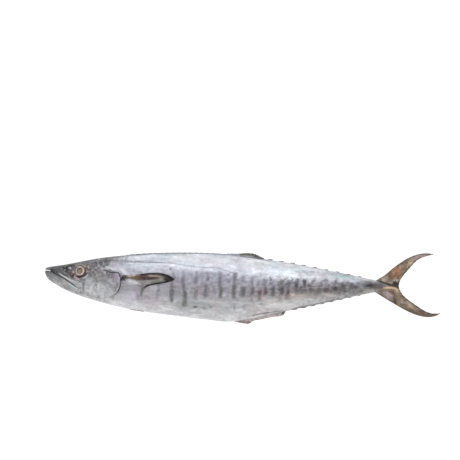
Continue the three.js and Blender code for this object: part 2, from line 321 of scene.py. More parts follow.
PALETTE = {  # as seen, 0 to 255
    "bar": (100, 98, 108),
    "faint bar": (128, 126, 140),
    "dark bar": (72, 71, 78),
    "maroon bar": (84, 62, 68),
    "olive bar": (90, 91, 87),
    "lilac": (178, 152, 180),
    "pink": (206, 180, 184),
    "rose": (188, 172, 170),
    "cream": (224, 208, 190),
    "beige": (188, 178, 164),
    "ink": (24, 21, 24),
    "slate": (84, 84, 88),
    "steel": (128, 130, 134),
    "dark slate": (46, 46, 50),
    "bark": (92, 70, 56),
    "sand": (214, 186, 154),
    "straw": (168, 140, 104),
    "olive tan": (132, 122, 90),
    "brown": (86, 58, 48),
    "red brown": (112, 62, 44),
    "maroon": (66, 38, 40),
    "gold": (130, 112, 86),
    "silver": (206, 208, 212),
    "white": (240, 240, 242),
    "moss": (104, 108, 96),
    "olive": (70, 66, 46),
    "orange": (178, 108, 66),
    "mauve": (128, 108, 114),
    "mint": (176, 206, 204),
    "taupe": (110, 100, 98),
    "lavender": (207, 202, 217),
    "ash rose": (188, 168, 172),
    "lichen": (160, 160, 147),
}


def seen(*rgb):
    """A colour as seen, 0 to 255, in the linear numbers that the shaders take."""
    shares = [value / 255 for value in rgb]
    return tuple(c / 12.92 if c <= 0.04045 else ((c + 0.055) / 1.055) ** 2.4 for c in shares)


def waver(u, t, size, seed):
    """Gentle seeded unevenness, mostly between -1 and 1, with waves of about the given length."""
    draw = np.random.default_rng(seed)
    total = np.zeros_like(u)
    for _ in range(5):
        turn, phase = draw.uniform(0, 2 * math.pi), draw.uniform(0, 2 * math.pi)
        stretch = draw.uniform(0.7, 1.5)
        along = u * math.cos(turn) + t * math.sin(turn)
        total += np.sin(along * 2 * math.pi * stretch / size + phase)
    return total / 3.2


class Paint:
    """Strokes of colour on a piece, stored as a colour attribute. Alpha says how much they cover.

    Dabs and bars wander a little off their place, as grown marks do, and lines don't."""

    def __init__(self, piece, wander=1.0):
        self.piece = piece
        self.u, self.t, self.z = measures(piece)
        self.rgb = np.zeros((len(self.u), 3))
        self.alpha = np.zeros(len(self.u))
        self.wu = self.u + wander * (waver(self.u, self.t, 17, 3) + 0.6 * waver(self.u, self.t, 5, 7))
        self.wt = self.t + wander * (waver(self.u, self.t, 13, 5) + 0.6 * waver(self.u, self.t, 5, 9))

    def lay(self, colour, cover):
        """Puts a colour over what is there, with its own share of cover for each vertex."""
        cover = np.clip(cover, 0, 1)
        self.rgb = self.rgb * (1 - cover)[:, None] + np.array(seen(*PALETTE[colour])) * cover[:, None]
        self.alpha = self.alpha * (1 - cover) + cover

    def dab(self, colour, u, t, ru, rt, cover, lean=0.0):
        """An oval of colour, even to half its radius. lean turns its tail end up, in degrees."""
        c, s = math.cos(math.radians(lean)), math.sin(math.radians(lean))
        du, dt = self.wu - u, self.wt - t
        far = np.hypot((du * c + dt * s) / ru, (dt * c - du * s) / rt)
        self.lay(colour, cover * (1 - smooth(far, 0.5, 1.35)))

    def bar(self, colour, u, top, bottom, width, cover, lean=0.0):
        """An upright bar with soft ends. lean is how far it runs to the tail for each millimetre up."""
        soft = 4.0
        middle = (top + bottom) / 2
        across = np.abs(self.wu - u - lean * (self.wt - middle)) / (width / 2)
        ends = smooth(self.wt, bottom - soft, bottom + soft) * (1 - smooth(self.wt, top - soft, top + soft))
        self.lay(colour, cover * (1 - smooth(across, 0.35, 1.45)) * ends)

    def line(self, colour, points, width, cover, fade=(0.0, 0.0)):
        """A line of colour, fading in and out over the given parts of its length."""
        far, along = from_line(points, self.u, self.t)
        ends = 1.0
        if fade[0]:
            ends = ends * smooth(along, 0, fade[0])
        if fade[1]:
            ends = ends * smooth(1 - along, 0, fade[1])
        self.lay(colour, cover * (1 - smooth(np.abs(far), width * 0.25, width * 0.95)) * ends)

    def speckle(self, seed, colours, count, u_range, t_range, size, cover):
        """Seeded small dabs, for the blotches that no two fish share."""
        draw = np.random.default_rng(seed)
        for _ in range(count):
            u, t = draw.uniform(*u_range), draw.uniform(*t_range)
            r = draw.uniform(*size)
            stretch = draw.uniform(0.6, 1.7)
            colour = colours[draw.integers(len(colours))]
            covers = cover * draw.uniform(0.4, 1)
            self.dab(colour, u, t, r * stretch, r / stretch, covers, draw.uniform(-40, 40))

    def strokes(self, rows):
        """Lays a table of strokes in turn. A row is the kind of stroke and then what that kind takes."""
        kinds = {"dab": self.dab, "bar": self.bar, "line": self.line, "speckle": self.speckle}
        for kind, *row in rows:
            kinds[kind](*row)

    def store(self):
        rgb = self.rgb / np.maximum(self.alpha, 1e-5)[:, None]
        data = np.concatenate([rgb, self.alpha[:, None]], axis=1).astype(np.float32)
        layer = self.piece.data.attributes.new("paint", "FLOAT_COLOR", "POINT")
        layer.data.foreach_set("color", data.ravel())


def paint_over(piece, strokes=(), wander=1.0):
    """Gives a finished piece its strokes."""
    paint = Paint(piece, wander)
    paint.strokes(strokes)
    paint.store()
    return piece


# ---------------------------------------------------------------- materials


class Finish:
    """A material that is put together from nodes."""

    def __init__(self, name, **surface):
        self.material = bpy.data.materials.new(name)
        self.material.use_nodes = True
        self.tree = self.material.node_tree
        self.shader = self.tree.nodes["Principled BSDF"]
        for socket, value in surface.items():
            self.shader.inputs[socket.replace("_", " ")].default_value = value
        self.places = self.node("ShaderNodeTexCoord").outputs["Object"]

    def node(self, kind, settings=None, **inputs):
        made = self.tree.nodes.new(kind)
        for key, value in (settings or {}).items():
            setattr(made, key, value)
        for name, value in inputs.items():
            self.feed(made.inputs[name.replace("_", " ")], value)
        return made

    def feed(self, socket, value):
        if isinstance(value, bpy.types.NodeSocket):
            self.tree.links.new(value, socket)
        else:
            socket.default_value = value

    def math(self, operation, *values, clamp=False):
        made = self.node("ShaderNodeMath", {"operation": operation, "use_clamp": clamp})
        for socket, value in zip(made.inputs, values):
            self.feed(socket, value)
        return made.outputs[0]

    def noise(self, scale, detail=2.0, rough=0.5, stretch=(1, 1, 1), at=(0, 0, 0)):
        where = self.node("ShaderNodeMapping", Vector=self.places, Scale=stretch, Location=at).outputs[0]
        made = self.node("ShaderNodeTexNoise", Vector=where, Scale=scale, Detail=detail, Roughness=rough)
        return made.outputs[0]

    def cells(self, scale, randomness=1.0, stretch=(1, 1, 1)):
        where = self.node("ShaderNodeMapping", Vector=self.places, Scale=stretch).outputs[0]
        made = self.node("ShaderNodeTexVoronoi", Vector=where, Scale=scale, Randomness=randomness)
        return made.outputs["Distance"]

    def noted(self, name):
        """A number that the piece stores for each vertex."""
        return self.node("ShaderNodeAttribute", {"attribute_name": name}).outputs["Fac"]

    def spread(self, value, low, high, to_low=0.0, to_high=1.0):
        """Turns the values from low to high into those from to_low to to_high, softly."""
        made = self.node("ShaderNodeMapRange", {"interpolation_type": "SMOOTHSTEP"})
        for socket, number in zip(made.inputs, (value, low, high, to_low, to_high)):
            self.feed(socket, number)
        return made.outputs[0]

    def ramp(self, value, stops):
        """Colours along a value. Each stop is a place and a colour as seen."""
        made = self.node("ShaderNodeValToRGB", Fac=value)
        points = made.color_ramp.elements
        while len(points) < len(stops):
            points.new(0.5)
        for point, (spot, rgb) in zip(points, stops):
            point.position = spot
            point.color = (*seen(*rgb), 1)
        return made.outputs[0]

    def mix(self, share, a, b, blend="MIX"):
        made = self.node("ShaderNodeMix", {"data_type": "RGBA", "blend_type": blend})
        for socket, value in ((made.inputs[0], share), (made.inputs[6], a), (made.inputs[7], b)):
            if isinstance(value, tuple) and len(value) == 3:
                value = (*value, 1)
            self.feed(socket, value)
        return made.outputs[2]

    def shade(self, colour, amount):
        """Multiplies a colour by a grey."""
        grey = self.node("ShaderNodeCombineColor", Red=amount, Green=amount, Blue=amount).outputs[0]
        return self.mix(1.0, colour, grey, "MULTIPLY")

    def painted(self, colour, broken=None):
        """Lays the piece's strokes over a colour. broken is a value that thins them unevenly."""
        paint = self.node("ShaderNodeAttribute", {"attribute_name": "paint"})
        cover = paint.outputs["Alpha"]
        if broken is not None:
            cover = self.math("MULTIPLY", cover, broken, clamp=True)
        return self.mix(cover, colour, paint.outputs["Color"])

    def drawn(self, colour, name, width, rgb, cover=0.9):
        """Draws one of the piece's noted lines, a little uneven, in half its width to each side."""
        uneven = self.math("MULTIPLY_ADD", self.noise(150, 3), 1.6, -0.8)
        far = self.math("ABSOLUTE", self.math("ADD", self.noted(name), uneven))
        near = self.spread(far, width * 0.15, width * 0.7, cover, 0.0)
        strength = self.math("MULTIPLY", near, self.noted(name + " strength"))
        return self.mix(strength, colour, seen(*rgb))

    def bump(self, height, strength, distance, under=None):
        made = self.node("ShaderNodeBump", Height=height, Strength=strength, Distance=distance)
        if under is not None:
            self.feed(made.inputs["Normal"], under)
        return made.outputs[0]

    def done(self, **sockets):
        for socket, value in sockets.items():
            self.feed(self.shader.inputs[socket.replace("_", " ")], value)
        return self.material


def skin_finish():
    skin = Finish("wet_silver_skin", Metallic=0.12, IOR=1.42, Coat_Weight=0.25, Coat_Roughness=0.2)
    across = skin.math("MULTIPLY_ADD", skin.noted("across"), 0.5, 0.5)
    wander = skin.math("MULTIPLY_ADD", skin.noise(26, 2), 0.07, -0.035)
    across = skin.math("ADD", across, wander)
    # painted highlight: in the front and rear tones the flank turns near white towards the back, the sheen of
    # the wet back; at the very top edge it darkens again, partly the back's own dark colour and partly
    # painted shade
    front = skin.ramp(across, [
        (0.0, (214, 214, 216)), (0.07, (228, 228, 230)), (0.15, (206, 206, 207)), (0.24, (182, 182, 183)),
        (0.34, (170, 169, 174)), (0.5, (168, 165, 174)), (0.63, (163, 162, 175)), (0.72, (174, 177, 190)),
        (0.8, (206, 211, 221)), (0.95, (226, 231, 239)), (0.985, (200, 204, 212)), (1.0, (150, 154, 163)),
    ])
    rear = skin.ramp(across, [
        (0.0, (208, 205, 205)), (0.1, (213, 210, 208)), (0.22, (207, 203, 201)), (0.3, (172, 167, 166)),
        (0.4, (143, 138, 141)), (0.5, (153, 150, 157)), (0.6, (186, 185, 194)), (0.69, (224, 227, 235)),
        (0.76, (236, 240, 247)), (0.94, (236, 240, 245)), (0.985, (208, 212, 218)), (1.0, (154, 158, 166)),
    ])
    flank = skin.mix(skin.noted("rear"), front, rear)
    head = skin.ramp(across, [
        (0.0, (184, 184, 184)), (0.15, (204, 204, 206)), (0.3, (200, 200, 203)), (0.42, (184, 184, 186)),
        (0.52, (162, 162, 164)), (0.64, (130, 127, 130)), (0.8, (140, 138, 143)), (0.94, (122, 123, 126)),
        (1.0, (84, 86, 90)),
    ])
    colour = skin.mix(skin.noted("head"), flank, head)
    colour = skin.shade(colour, skin.noted("dusk"))
    tint = skin.ramp(skin.noise(46, 3, 0.6, (0.6, 1.2, 1)), [
        (0.36, (247, 251, 255)), (0.5, (253, 253, 254)), (0.64, (255, 249, 252)),
    ])
    colour = skin.mix(1.0, colour, tint, "MULTIPLY")
    # mottled where the skin is rough, brushed lengthwise where it is silvery
    patchy = skin.spread(skin.noise(170, 4, 0.62, (0.8, 1.1, 1)), 0.36, 0.64, -0.3, 0.2)
    colour = skin.shade(colour, skin.math("MULTIPLY_ADD", patchy, skin.noted("grain"), 1.0))
    brushed = skin.spread(skin.noise(120, 4, 0.62, (0.24, 1.7, 1)), 0.34, 0.66, 0.86, 1.1)
    colour = skin.shade(colour, brushed)
    cloud = skin.spread(skin.noise(52, 3, 0.6, (0.5, 1.3, 1), (3, 1, 0)), 0.36, 0.64, 0.9, 1.07)
    colour = skin.shade(colour, cloud)
    scale_rows = skin.cells(820, 0.95, (0.85, 1.1, 1))
    colour = skin.shade(colour, skin.spread(scale_rows, 0.2, 0.75, 1.01, 0.96))
    speck = skin.math("MULTIPLY", skin.spread(skin.cells(300), 0.12, 0.42, 1.0, 0.0), skin.noted("speckle"))
    colour = skin.mix(speck, colour, seen(66, 70, 74))
    broken = skin.spread(skin.noise(150, 3, 0.6), 0.25, 0.6, 0.72, 1.1)
    colour = skin.painted(colour, broken)
    colour = skin.drawn(colour, "side line", 1.5, (96, 98, 106), 0.62)
    # painted shade: the dark lines over the jaw bone, in the mouth's gap and in the slit under the gill
    # cover's top and rear edge
    colour = skin.drawn(colour, "jaw top", 1.9, (44, 42, 44), 0.62)
    colour = skin.drawn(colour, "mouth", 2.6, (26, 22, 26), 0.94)
    colour = skin.drawn(colour, "gill top", 2.6, (40, 38, 46), 0.85)
    colour = skin.drawn(colour, "gill edge", 2.6, (58, 58, 46), 0.9)
    rough = skin.spread(skin.noise(120, 3), 0.3, 0.7, 0.26, 0.46)
    fine = skin.bump(scale_rows, -0.2, 0.0002)
    normal = skin.bump(skin.noise(150, 4, 0.6, (0.5, 1.2, 1)), 0.3, 0.0005, fine)
    return skin.done(Base_Color=colour, Roughness=rough, Normal=normal)


def fin_finish(name, tone, edge, patches=(), see_through=0.0, shine=1.0):
    """A fin's skin. tone is a list of colours from root to margin and edge the colour of its rim.

    patches are more colours that break the tone up unevenly, each with its scale and cover."""
    fin = Finish(name, IOR=1 + 0.42 * shine, Coat_Weight=0.2 * shine, Coat_Roughness=0.25)
    if see_through:
        fin.shader.inputs["Subsurface Weight"].default_value = see_through
        fin.shader.inputs["Subsurface Scale"].default_value = 0.002
    reach = fin.math("ADD", fin.noted("reach"), fin.math("MULTIPLY_ADD", fin.noise(60, 3), 0.2, -0.1))
    colour = fin.ramp(reach, tone)
    for i, (rgb, scale, cover) in enumerate(patches):
        where = fin.spread(fin.noise(scale, 4, 0.6, at=(7 * i, 3 * i, 0)), 0.52, 0.6, 0.0, cover)
        colour = fin.mix(where, colour, seen(*rgb))
    apart = fin.spread(fin.noted("reach"), 0.15, 0.5)
    rays = fin.math("MULTIPLY", fin.math("SINE", fin.math("MULTIPLY", fin.noted("ray"), 2 * math.pi)), apart)
    lines = fin.spread(rays, -0.6, 0.9, 0.84, 1.08)
    colour = fin.shade(colour, lines)
    mottle = fin.spread(fin.noise(230, 4, 0.65), 0.3, 0.7, 0.8, 1.14)
    colour = fin.shade(colour, mottle)
    # streaks along the rays
    ray = fin.noted("ray")
    stretched = fin.math("MULTIPLY", fin.noted("reach"), 3.0)
    on_rays = fin.node("ShaderNodeCombineXYZ", X=ray, Y=stretched).outputs[0]
    streaks = fin.node("ShaderNodeTexNoise", Vector=on_rays, Scale=2.2, Detail=4.0, Roughness=0.65).outputs[0]
    streaks = fin.math("MULTIPLY", fin.math("SUBTRACT", streaks, 0.5), apart)
    colour = fin.shade(colour, fin.spread(streaks, -0.16, 0.16, 0.76, 1.16))
    colour = fin.mix(fin.noted("rim"), colour, seen(*edge))
    colour = fin.painted(colour, fin.spread(fin.noise(160, 3), 0.25, 0.55, 0.8, 1.1))
    rough = fin.spread(fin.noise(150, 3), 0.3, 0.7, 0.34, 0.55)
    ribs = fin.bump(rays, 0.3, 0.0004)
    normal = fin.bump(fin.noise(260, 4, 0.6), 0.4, 0.0004, ribs)
    return fin.done(Base_Color=colour, Roughness=rough, Normal=normal)


def eye_finish():
    eye = Finish("wet_eye", Roughness=0.12, IOR=1.38, Coat_Weight=0.7, Coat_Roughness=0.04)
    reach = eye.math("MULTIPLY", eye.noted("from_sight"), 0.1)
    reach = eye.math("ADD", reach, eye.math("MULTIPLY_ADD", eye.noise(330, 3), 0.12, -0.06))
    colour = eye.ramp(reach, [
        (0.0, (150, 118, 92)), (0.2, (158, 132, 106)), (0.34, (136, 110, 92)), (0.48, (112, 90, 80)),
        (0.57, (142, 120, 108)), (0.65, (202, 186, 180)), (0.72, (224, 212, 207)), (0.79, (190, 170, 162)),
        (0.86, (104, 76, 66)), (0.96, (56, 40, 40)),
    ])
    colour = eye.shade(colour, eye.spread(eye.noise(600, 3), 0.3, 0.7, 0.86, 1.1))
    colour = eye.painted(colour, eye.spread(eye.noise(500, 3), 0.3, 0.6, 0.5, 1.1))
    return eye.done(Base_Color=colour, Normal=eye.bump(eye.noise(500, 2), 0.1, 0.0002))


# ---------------------------------------------------------------- body and head

GILL_EDGE = [
    (92, 5.6), (100, 7), (107, 7.4), (113, 5.8), (119, 3.8), (125, 3.8), (130.5, 4.2), (133.6, 0),
    (135.6, -8), (135.6, -17), (133.4, -25), (129, -32.4), (121, -39.4), (110, -46), (97, -52),
]
JAW_BONE = [(9, 2), (20, -1.4), (30, -5.6), (40, -10.6), (50, -15.6), (58, -19.4), (63.5, -21.6)]
JAW_BONE_WIDTH = [(0, 0.6), (0.3, 1.8), (0.6, 2.8), (0.85, 4.2), (1, 4.9)]
MOUTH_LINE = [(10, 0.5), (20, -3.8), (30, -9), (40, -15), (50, -21.4), (58, -25.8), (65, -27.6)]
JAW_TOP_LINE = [(20, -0.6), (32, -4.2), (44, -9.4), (54, -13.6), (62, -16), (68.4, -18.6), (69.6, -22)]
CHEEK_EDGE = [(86, 8), (93, -5), (96, -19), (92, -32), (82, -42)]
LATERAL_LINE = [
    (134, 24), (150, 24), (200, 24.6), (225, 24.4), (240, 23), (252, 21.4), (280, 20), (304, 19.8),
    (312, 18), (320, 15.6), (330, 13.2), (345, 12), (372, 8), (400, 4), (420, -3), (445, -9.4), (463, -8),
    (485, -6), (510, -4), (545, -1), (572, 0),
]
NOSTRILS = [(47.6, 8.2, 1.0), (52.2, 11.2, 1.2)]  # place and radius
MOUTH_SHADE = [(6, 1.6), (12, 0.6), (20, -3), (31, -8.3), (40.3, -13), (48, -18), (55, -22.4), (62, -26)]
JAW_TOP_SHADE = [(22, 3), (29, -1.6), (37, -5), (45, -8), (52, -11.8), (60, -14.6)]
# the dark line along the top of the nape and trunk: partly the back's own dark colour, partly painted shadow
# along that edge
NAPE_LINE = [(88, 26), (110, 30.4), (130, 33.4), (150, 35.8), (170, 37.8), (188, 39.2)]


def gill_rise(u, t):
    """How raised the gill cover is, from 0 to 1. It runs out forwards, at the nape and under the throat."""
    towards_back = smooth(t, -8, 6) * (1 - smooth(u, 98, 122))
    return smooth(u, 60, 112) * (1 - towards_back) * (1 - smooth(-t, 34, 54))


def head_relief(u, t):
    """How far the plates, rims and grooves of the head stand out, in millimetres."""
    # the gill cover, and the groove behind its edge
    cover, _ = from_line(GILL_EDGE, u, t)
    rise = gill_rise(u, t)
    out = 2.3 * smooth(cover, -1.0, 1.8) * rise - 1.2 * hump(cover + 1.8, 1.5) * rise
    # the jaw bone, the grooves under and over it, and the edge of the cheek
    far, along = from_line(JAW_BONE, u, t)
    out += 1.0 * (1 - smooth(np.abs(far) - Profile(JAW_BONE_WIDTH)(along), -1.8, 0.6)) * smooth(u, 8, 26)
    for height, line, width in ((-1.6, MOUTH_LINE, 1.3), (-0.7, JAW_TOP_LINE, 1.2), (0.5, CHEEK_EDGE, 1.8)):
        out += height * hump(from_line(line, u, t)[0], width)
    # the raised rim of the eye's socket, and the socket
    orbit = np.hypot(u - EYE_U, t - EYE_T)
    out += 0.9 * hump(orbit - 10.6, 1.5) - 3.6 * (1 - smooth(orbit, 7.4, 9.2))
    for nu, nt, r in NOSTRILS:
        away = np.hypot((u - nu) * 0.7, t - nt)
        out -= 0.9 * hump(away, r)
        out += 0.35 * hump(away - 1.9, 0.7)
    return out


def pressed(z, floor=0.0, soft=0.6):
    """Heights after the lower flank has sunk onto the floor."""
    above = z - floor
    turned = floor + np.clip(above + soft, 0, None) ** 2 / (4 * soft)
    return np.where(above >= soft, z, turned)


def body_rings():
    """Stations of the body's rings, closer in the head and where the body runs out."""
    head = np.arange(1.0, HEAD_END, HEAD_STEP)
    trunk = np.arange(HEAD_END + 1, BODY_END - END_ROUNDING, TRUNK_STEP)
    end = BODY_END - END_ROUNDING * (1 - np.sin(np.linspace(0.15, 1.45, 7)))
    return np.concatenate([head, trunk, end[end > trunk[-1] + 2]])


def loft_body():
    """Body and head: one ring at the snout, extruded back from station to station."""
    stations = body_rings()
    deselect()
    middle, half, thick = ring(stations[0])
    centre = place(stations[0], middle, float(middle_height(stations[0])))
    bpy.ops.mesh.primitive_circle_add(
        vertices=RING_POINTS, radius=MM, fill_type="NOTHING", rotation=(0, math.pi / 2, 0), location=centre
    )
    skin = settle(bpy.context.object)
    skin.name = "skin"
    with editing(skin):
        bpy.ops.transform.resize(value=(1, half, thick), center_override=centre)
        bpy.ops.mesh.extrude_edges_move(TRANSFORM_OT_translate={"value": (-SNOUT_TIP * MM, 0, 0)})
        bpy.ops.mesh.merge(type="CENTER")
        bpy.ops.mesh.select_all(action="DESELECT")
        mesh = bmesh.from_edit_mesh(skin.data)
        for edge in mesh.edges:
            if edge.is_boundary:
                edge.select_set(True)
        bmesh.update_edit_mesh(skin.data)
        last = centre
        for u in stations[1:]:
            middle, new_half, new_thick = ring(u)
            centre = place(u, middle, float(middle_height(u)))
            bpy.ops.mesh.extrude_edges_move(TRANSFORM_OT_translate={"value": centre - last})
            bpy.ops.transform.resize(value=(1, new_half / half, new_thick / thick), center_override=centre)
            last, half, thick = centre, new_half, new_thick
        bpy.ops.mesh.extrude_edges_move(TRANSFORM_OT_translate={"value": (END_TIP * MM, 0, 0)})
        bpy.ops.mesh.merge(type="CENTER")
        face_outwards()
    subdivide(skin, 2)
    return skin


def cut_gape(skin):
    """Opens the mouth between the tips of the jaws."""
    deselect()
    bpy.ops.mesh.primitive_cylinder_add(
        vertices=4, radius=0.45 * MM, depth=60 * MM, location=place(9.6, 1.5, 14), rotation=(0, 0, 0.3)
    )
    wedge = settle(bpy.context.object)
    wedge.name = "gape_cutter"
    with editing(wedge, "DESELECT"):
        mesh = bmesh.from_edit_mesh(wedge.data)
        face = min((f for f in mesh.faces if abs(f.normal.z) < 0.5), key=lambda f: f.normal.x)
        face.select_set(True)
        bmesh.update_edit_mesh(wedge.data)
        for du, dt, grow in ((-3, 0.5, 1.9), (-4, 0.6, 1.5), (-8, 0.6, 1.3)):
            bpy.ops.mesh.extrude_region_move(TRANSFORM_OT_translate={"value": (du * MM, dt * MM, 0)})
            centre = sum((v.co for v in bmesh.from_edit_mesh(wedge.data).verts if v.select), Vector()) / 4
            bpy.ops.transform.resize(value=(1, grow, 1), center_override=centre)
        face_outwards()
    finish_with(skin, "BOOLEAN", operation="DIFFERENCE", object=wedge, solver="EXACT")
    bpy.data.objects.remove(wedge)


def plump(skin):
    """Fills the body out towards the four corners of its section, which is fuller than an oval."""
    u, t, z = measures(skin)
    middle, half, thick = inner_ring(u)
    fuller = 2 / section_power(u)
    for axis, reach, off in (("Y", half, t - middle), ("Z", thick, z - middle_height(u))):
        share = np.clip(off / reach, -1, 1)
        raise_by(skin, reach * (np.sign(share) * np.abs(share) ** fuller - share), axis)


def raise_relief(skin):
    """The forms of head and side line, the keels and the gentle unevenness of the flanks."""
    u, t, z = measures(skin)
    # the upper jaw is a little shorter than the lower one
    raise_by(skin, -2.0 * (1 - smooth(u, 1, 16)) * smooth(t, 2.0, 4.5), "X")
    head = u < HEAD_END
    relief = np.zeros(len(u))
    relief[head] = head_relief(u[head], t[head])
    relief += 0.3 * hump(from_line(LATERAL_LINE, u, t)[0], 0.9) * smooth(u, 140, 160)
    # the shoulder that carries the pectoral fin
    relief += 1.2 * hump(u - 143, 6, t + 6, 7)
    # the keel of the tail root, with a shallow groove on each side
    keel = smooth(u, 548, 574) * (1 - smooth(u, 584, 602))
    relief += keel * (2.2 * hump(t - KEEL_T, 1.7) - 0.5 * hump(np.abs(t - KEEL_T) - 4, 2))
    relief += 0.35 * waver(u, t + 2 * z, 46, 11) + 0.12 * waver(u, t + z, 15, 12)
    middle, half, _ = ring(u)
    edge = 1 - smooth(np.abs((t - middle) / np.maximum(half, 1)), 0.9, 1.0)
    raise_by(skin, relief * edge)


def press_down(skin):
    """Lets the lower flank sink onto the floor, with room for the fin that lies under it."""
    u, t, z = measures(skin)
    under_fin = smooth(u, 138, 146) * (1 - smooth(u, 222, 234)) * smooth(t, -46, -36) * (1 - smooth(t, 2, 10))
    raise_by(skin, pressed(z, clearance(u) + 1.3 * under_fin) - z, "Z")


def note_zones(skin):
    """Stores what the skin's material reads: where its tones change, how grained it is, and its lines."""
    u, t, _ = measures(skin)
    middle, half, _ = inner_ring(u)
    note(skin, "across", np.clip((t - middle) / half, -1, 1))
    note(skin, "head", 1 - smooth(u - 0.45 * t, 96, 150))
    note(skin, "rear", smooth(u, 300, 430))
    note(skin, "dusk", 1 - 0.16 * smooth(u, 470, 530) - 0.14 * smooth(u, 540, 590))
    barred = smooth(u, 215, 260) * smooth(t, -34, -24) * (1 - smooth(t, 8, 16))
    note(skin, "grain", 0.46 + 0.54 * (1 - smooth(u - 0.45 * t, 110, 165)) + 0.36 * barred)
    # the side line shows as far as the middle of the trunk
    note_line(skin, "side line", LATERAL_LINE[:12], 0.1)
    # the lines along which the material paints shade: the jaw's groove, the mouth's gap and the gill slit
    note_line(skin, "jaw top", JAW_TOP_SHADE, 0.3)
    note_line(skin, "mouth", MOUTH_SHADE, 0.16)
    note_line(skin, "gill top", GILL_EDGE[1:9], 0.15)
    note_line(skin, "gill edge", GILL_EDGE[7:13], 0.4)
    nape, cheek = hump(u - 108, 26, t - 17, 8), 0.35 * hump(u - 96, 30, t + 26, 22)
    note(skin, "speckle", np.clip(nape + cheek, 0, 1))


def make_body():
    """Body and head: the loft, the forms raised in it and what its material and strokes need."""
    skin = loft_body()
    cut_gape(skin)
    plump(skin)
    raise_relief(skin)
    press_down(skin)
    note_zones(skin)
    paint_body(skin)
    smooth_shaded(skin, SKIN_CREASE)
    return skin


# The marks of the skin. A bar is a colour, place, top, bottom, width, cover and lean, a spot or dab a
# colour, place, two radii, cover and sometimes a lean, a line a colour, points, width, cover and how much
# of each end fades, and a speckle a seed, colours, number, two ranges of place, sizes and cover.
FLANK_BARS = [
    ("faint bar", 201, -12, -40, 5, 0.5, 0.1), ("olive bar", 225.5, -5, -26, 6, 0.65, 0),
    ("bar", 226, -20, -44, 7.4, 0.95, 0), ("bar", 227.6, 12, 1, 5, 0.7, 0),
    ("faint bar", 235.7, 11, 2, 5, 0.5, 0), ("bar", 244.6, 12, -8, 6, 0.85, 0),
    ("bar", 246.4, -10, -28, 7, 0.75, -0.15), ("olive bar", 249.2, -22, -50, 7.4, 0.9, 0),
    ("faint bar", 258, 8, 0, 6, 0.5, 0), ("bar", 267.6, 12, -12, 6.4, 0.75, 0),
    ("olive bar", 268, -18, -35, 7.4, 0.6, 0), ("faint bar", 278, 11, -10, 7, 0.6, 0),
    ("bar", 287.4, 13, -4, 6.6, 0.85, 0.1), ("bar", 285, -7, -33, 7.4, 0.75, 0),
    ("faint bar", 300, 13, 6, 5, 0.6, 0), ("faint bar", 299, -13, -26, 6, 0.5, 0),
    ("bar", 308.8, 13, -14, 6.8, 0.75, 0), ("olive bar", 311.6, -12, -32, 8, 0.85, 0),
    ("faint bar", 323, 11, 4, 5, 0.7, 0), ("faint bar", 323, -12, -28, 7, 0.35, 0),
    ("bar", 335.2, 14, -10, 7.4, 0.85, 0), ("olive bar", 334.6, -8, -31, 8, 0.85, 0),
    ("faint bar", 350, 11, -3, 7, 0.55, 0), ("olive bar", 350.6, -11, -29, 9, 0.85, 0),
    ("faint bar", 365.6, 8, -9, 7, 0.95, 0), ("maroon bar", 366.4, -11, -24, 9, 0.8, 0),
    ("faint bar", 376, 2, -10, 6, 0.6, 0), ("maroon bar", 380, -14, -34, 8, 0.9, 0),
    ("faint bar", 387.6, 5, -10, 7.4, 0.8, 0), ("maroon bar", 390, -9, -23, 8.6, 0.85, 0),
    ("faint bar", 401, 4, -4, 6, 0.3, 0), ("dark bar", 403.2, -6, -26, 8, 0.75, 0),
    ("olive bar", 417.6, 6, -6, 8.8, 0.8, 0), ("dark bar", 418.6, -7, -22, 9, 0.9, 0),
    ("olive bar", 416, -26, -34, 7, 0.4, 0), ("bar", 429, 2, -12, 7.4, 0.7, 0),
    ("maroon bar", 428.6, -12, -29, 7.4, 0.9, 0), ("dark bar", 436, 8, 2.6, 5.4, 0.8, 0),
    ("dark bar", 443.6, 2, -12, 8.4, 0.85, 0.1), ("bar", 445, -9, -18, 7.4, 0.75, 0),
    ("dark bar", 457.8, 6.6, -4, 7.2, 0.9, 0), ("bar", 455, -8, -19, 8, 0.7, 0),
    ("dark bar", 472.6, 8, 0, 7, 0.75, 0.6), ("olive", 469, -4, -17, 8, 0.7, 0),
    ("olive", 483.6, -5, -19, 7, 0.6, 0), ("bar", 493, 8, 2.6, 10, 0.8, 0),
    ("maroon bar", 497, -3, -15, 9, 0.8, 0), ("bar", 486, 1, -5, 8, 0.4, 0),
    ("bar", 512.6, 7, 0.6, 7, 0.85, 0), ("olive", 526, 3, -9, 9, 0.75, 0),
    ("bar", 534.6, 6.4, 0.6, 8, 0.7, 0), ("dark bar", 542, 4, -4, 8, 0.8, 0),
    ("dark bar", 551.6, 5, -2, 8, 0.65, 0),
]
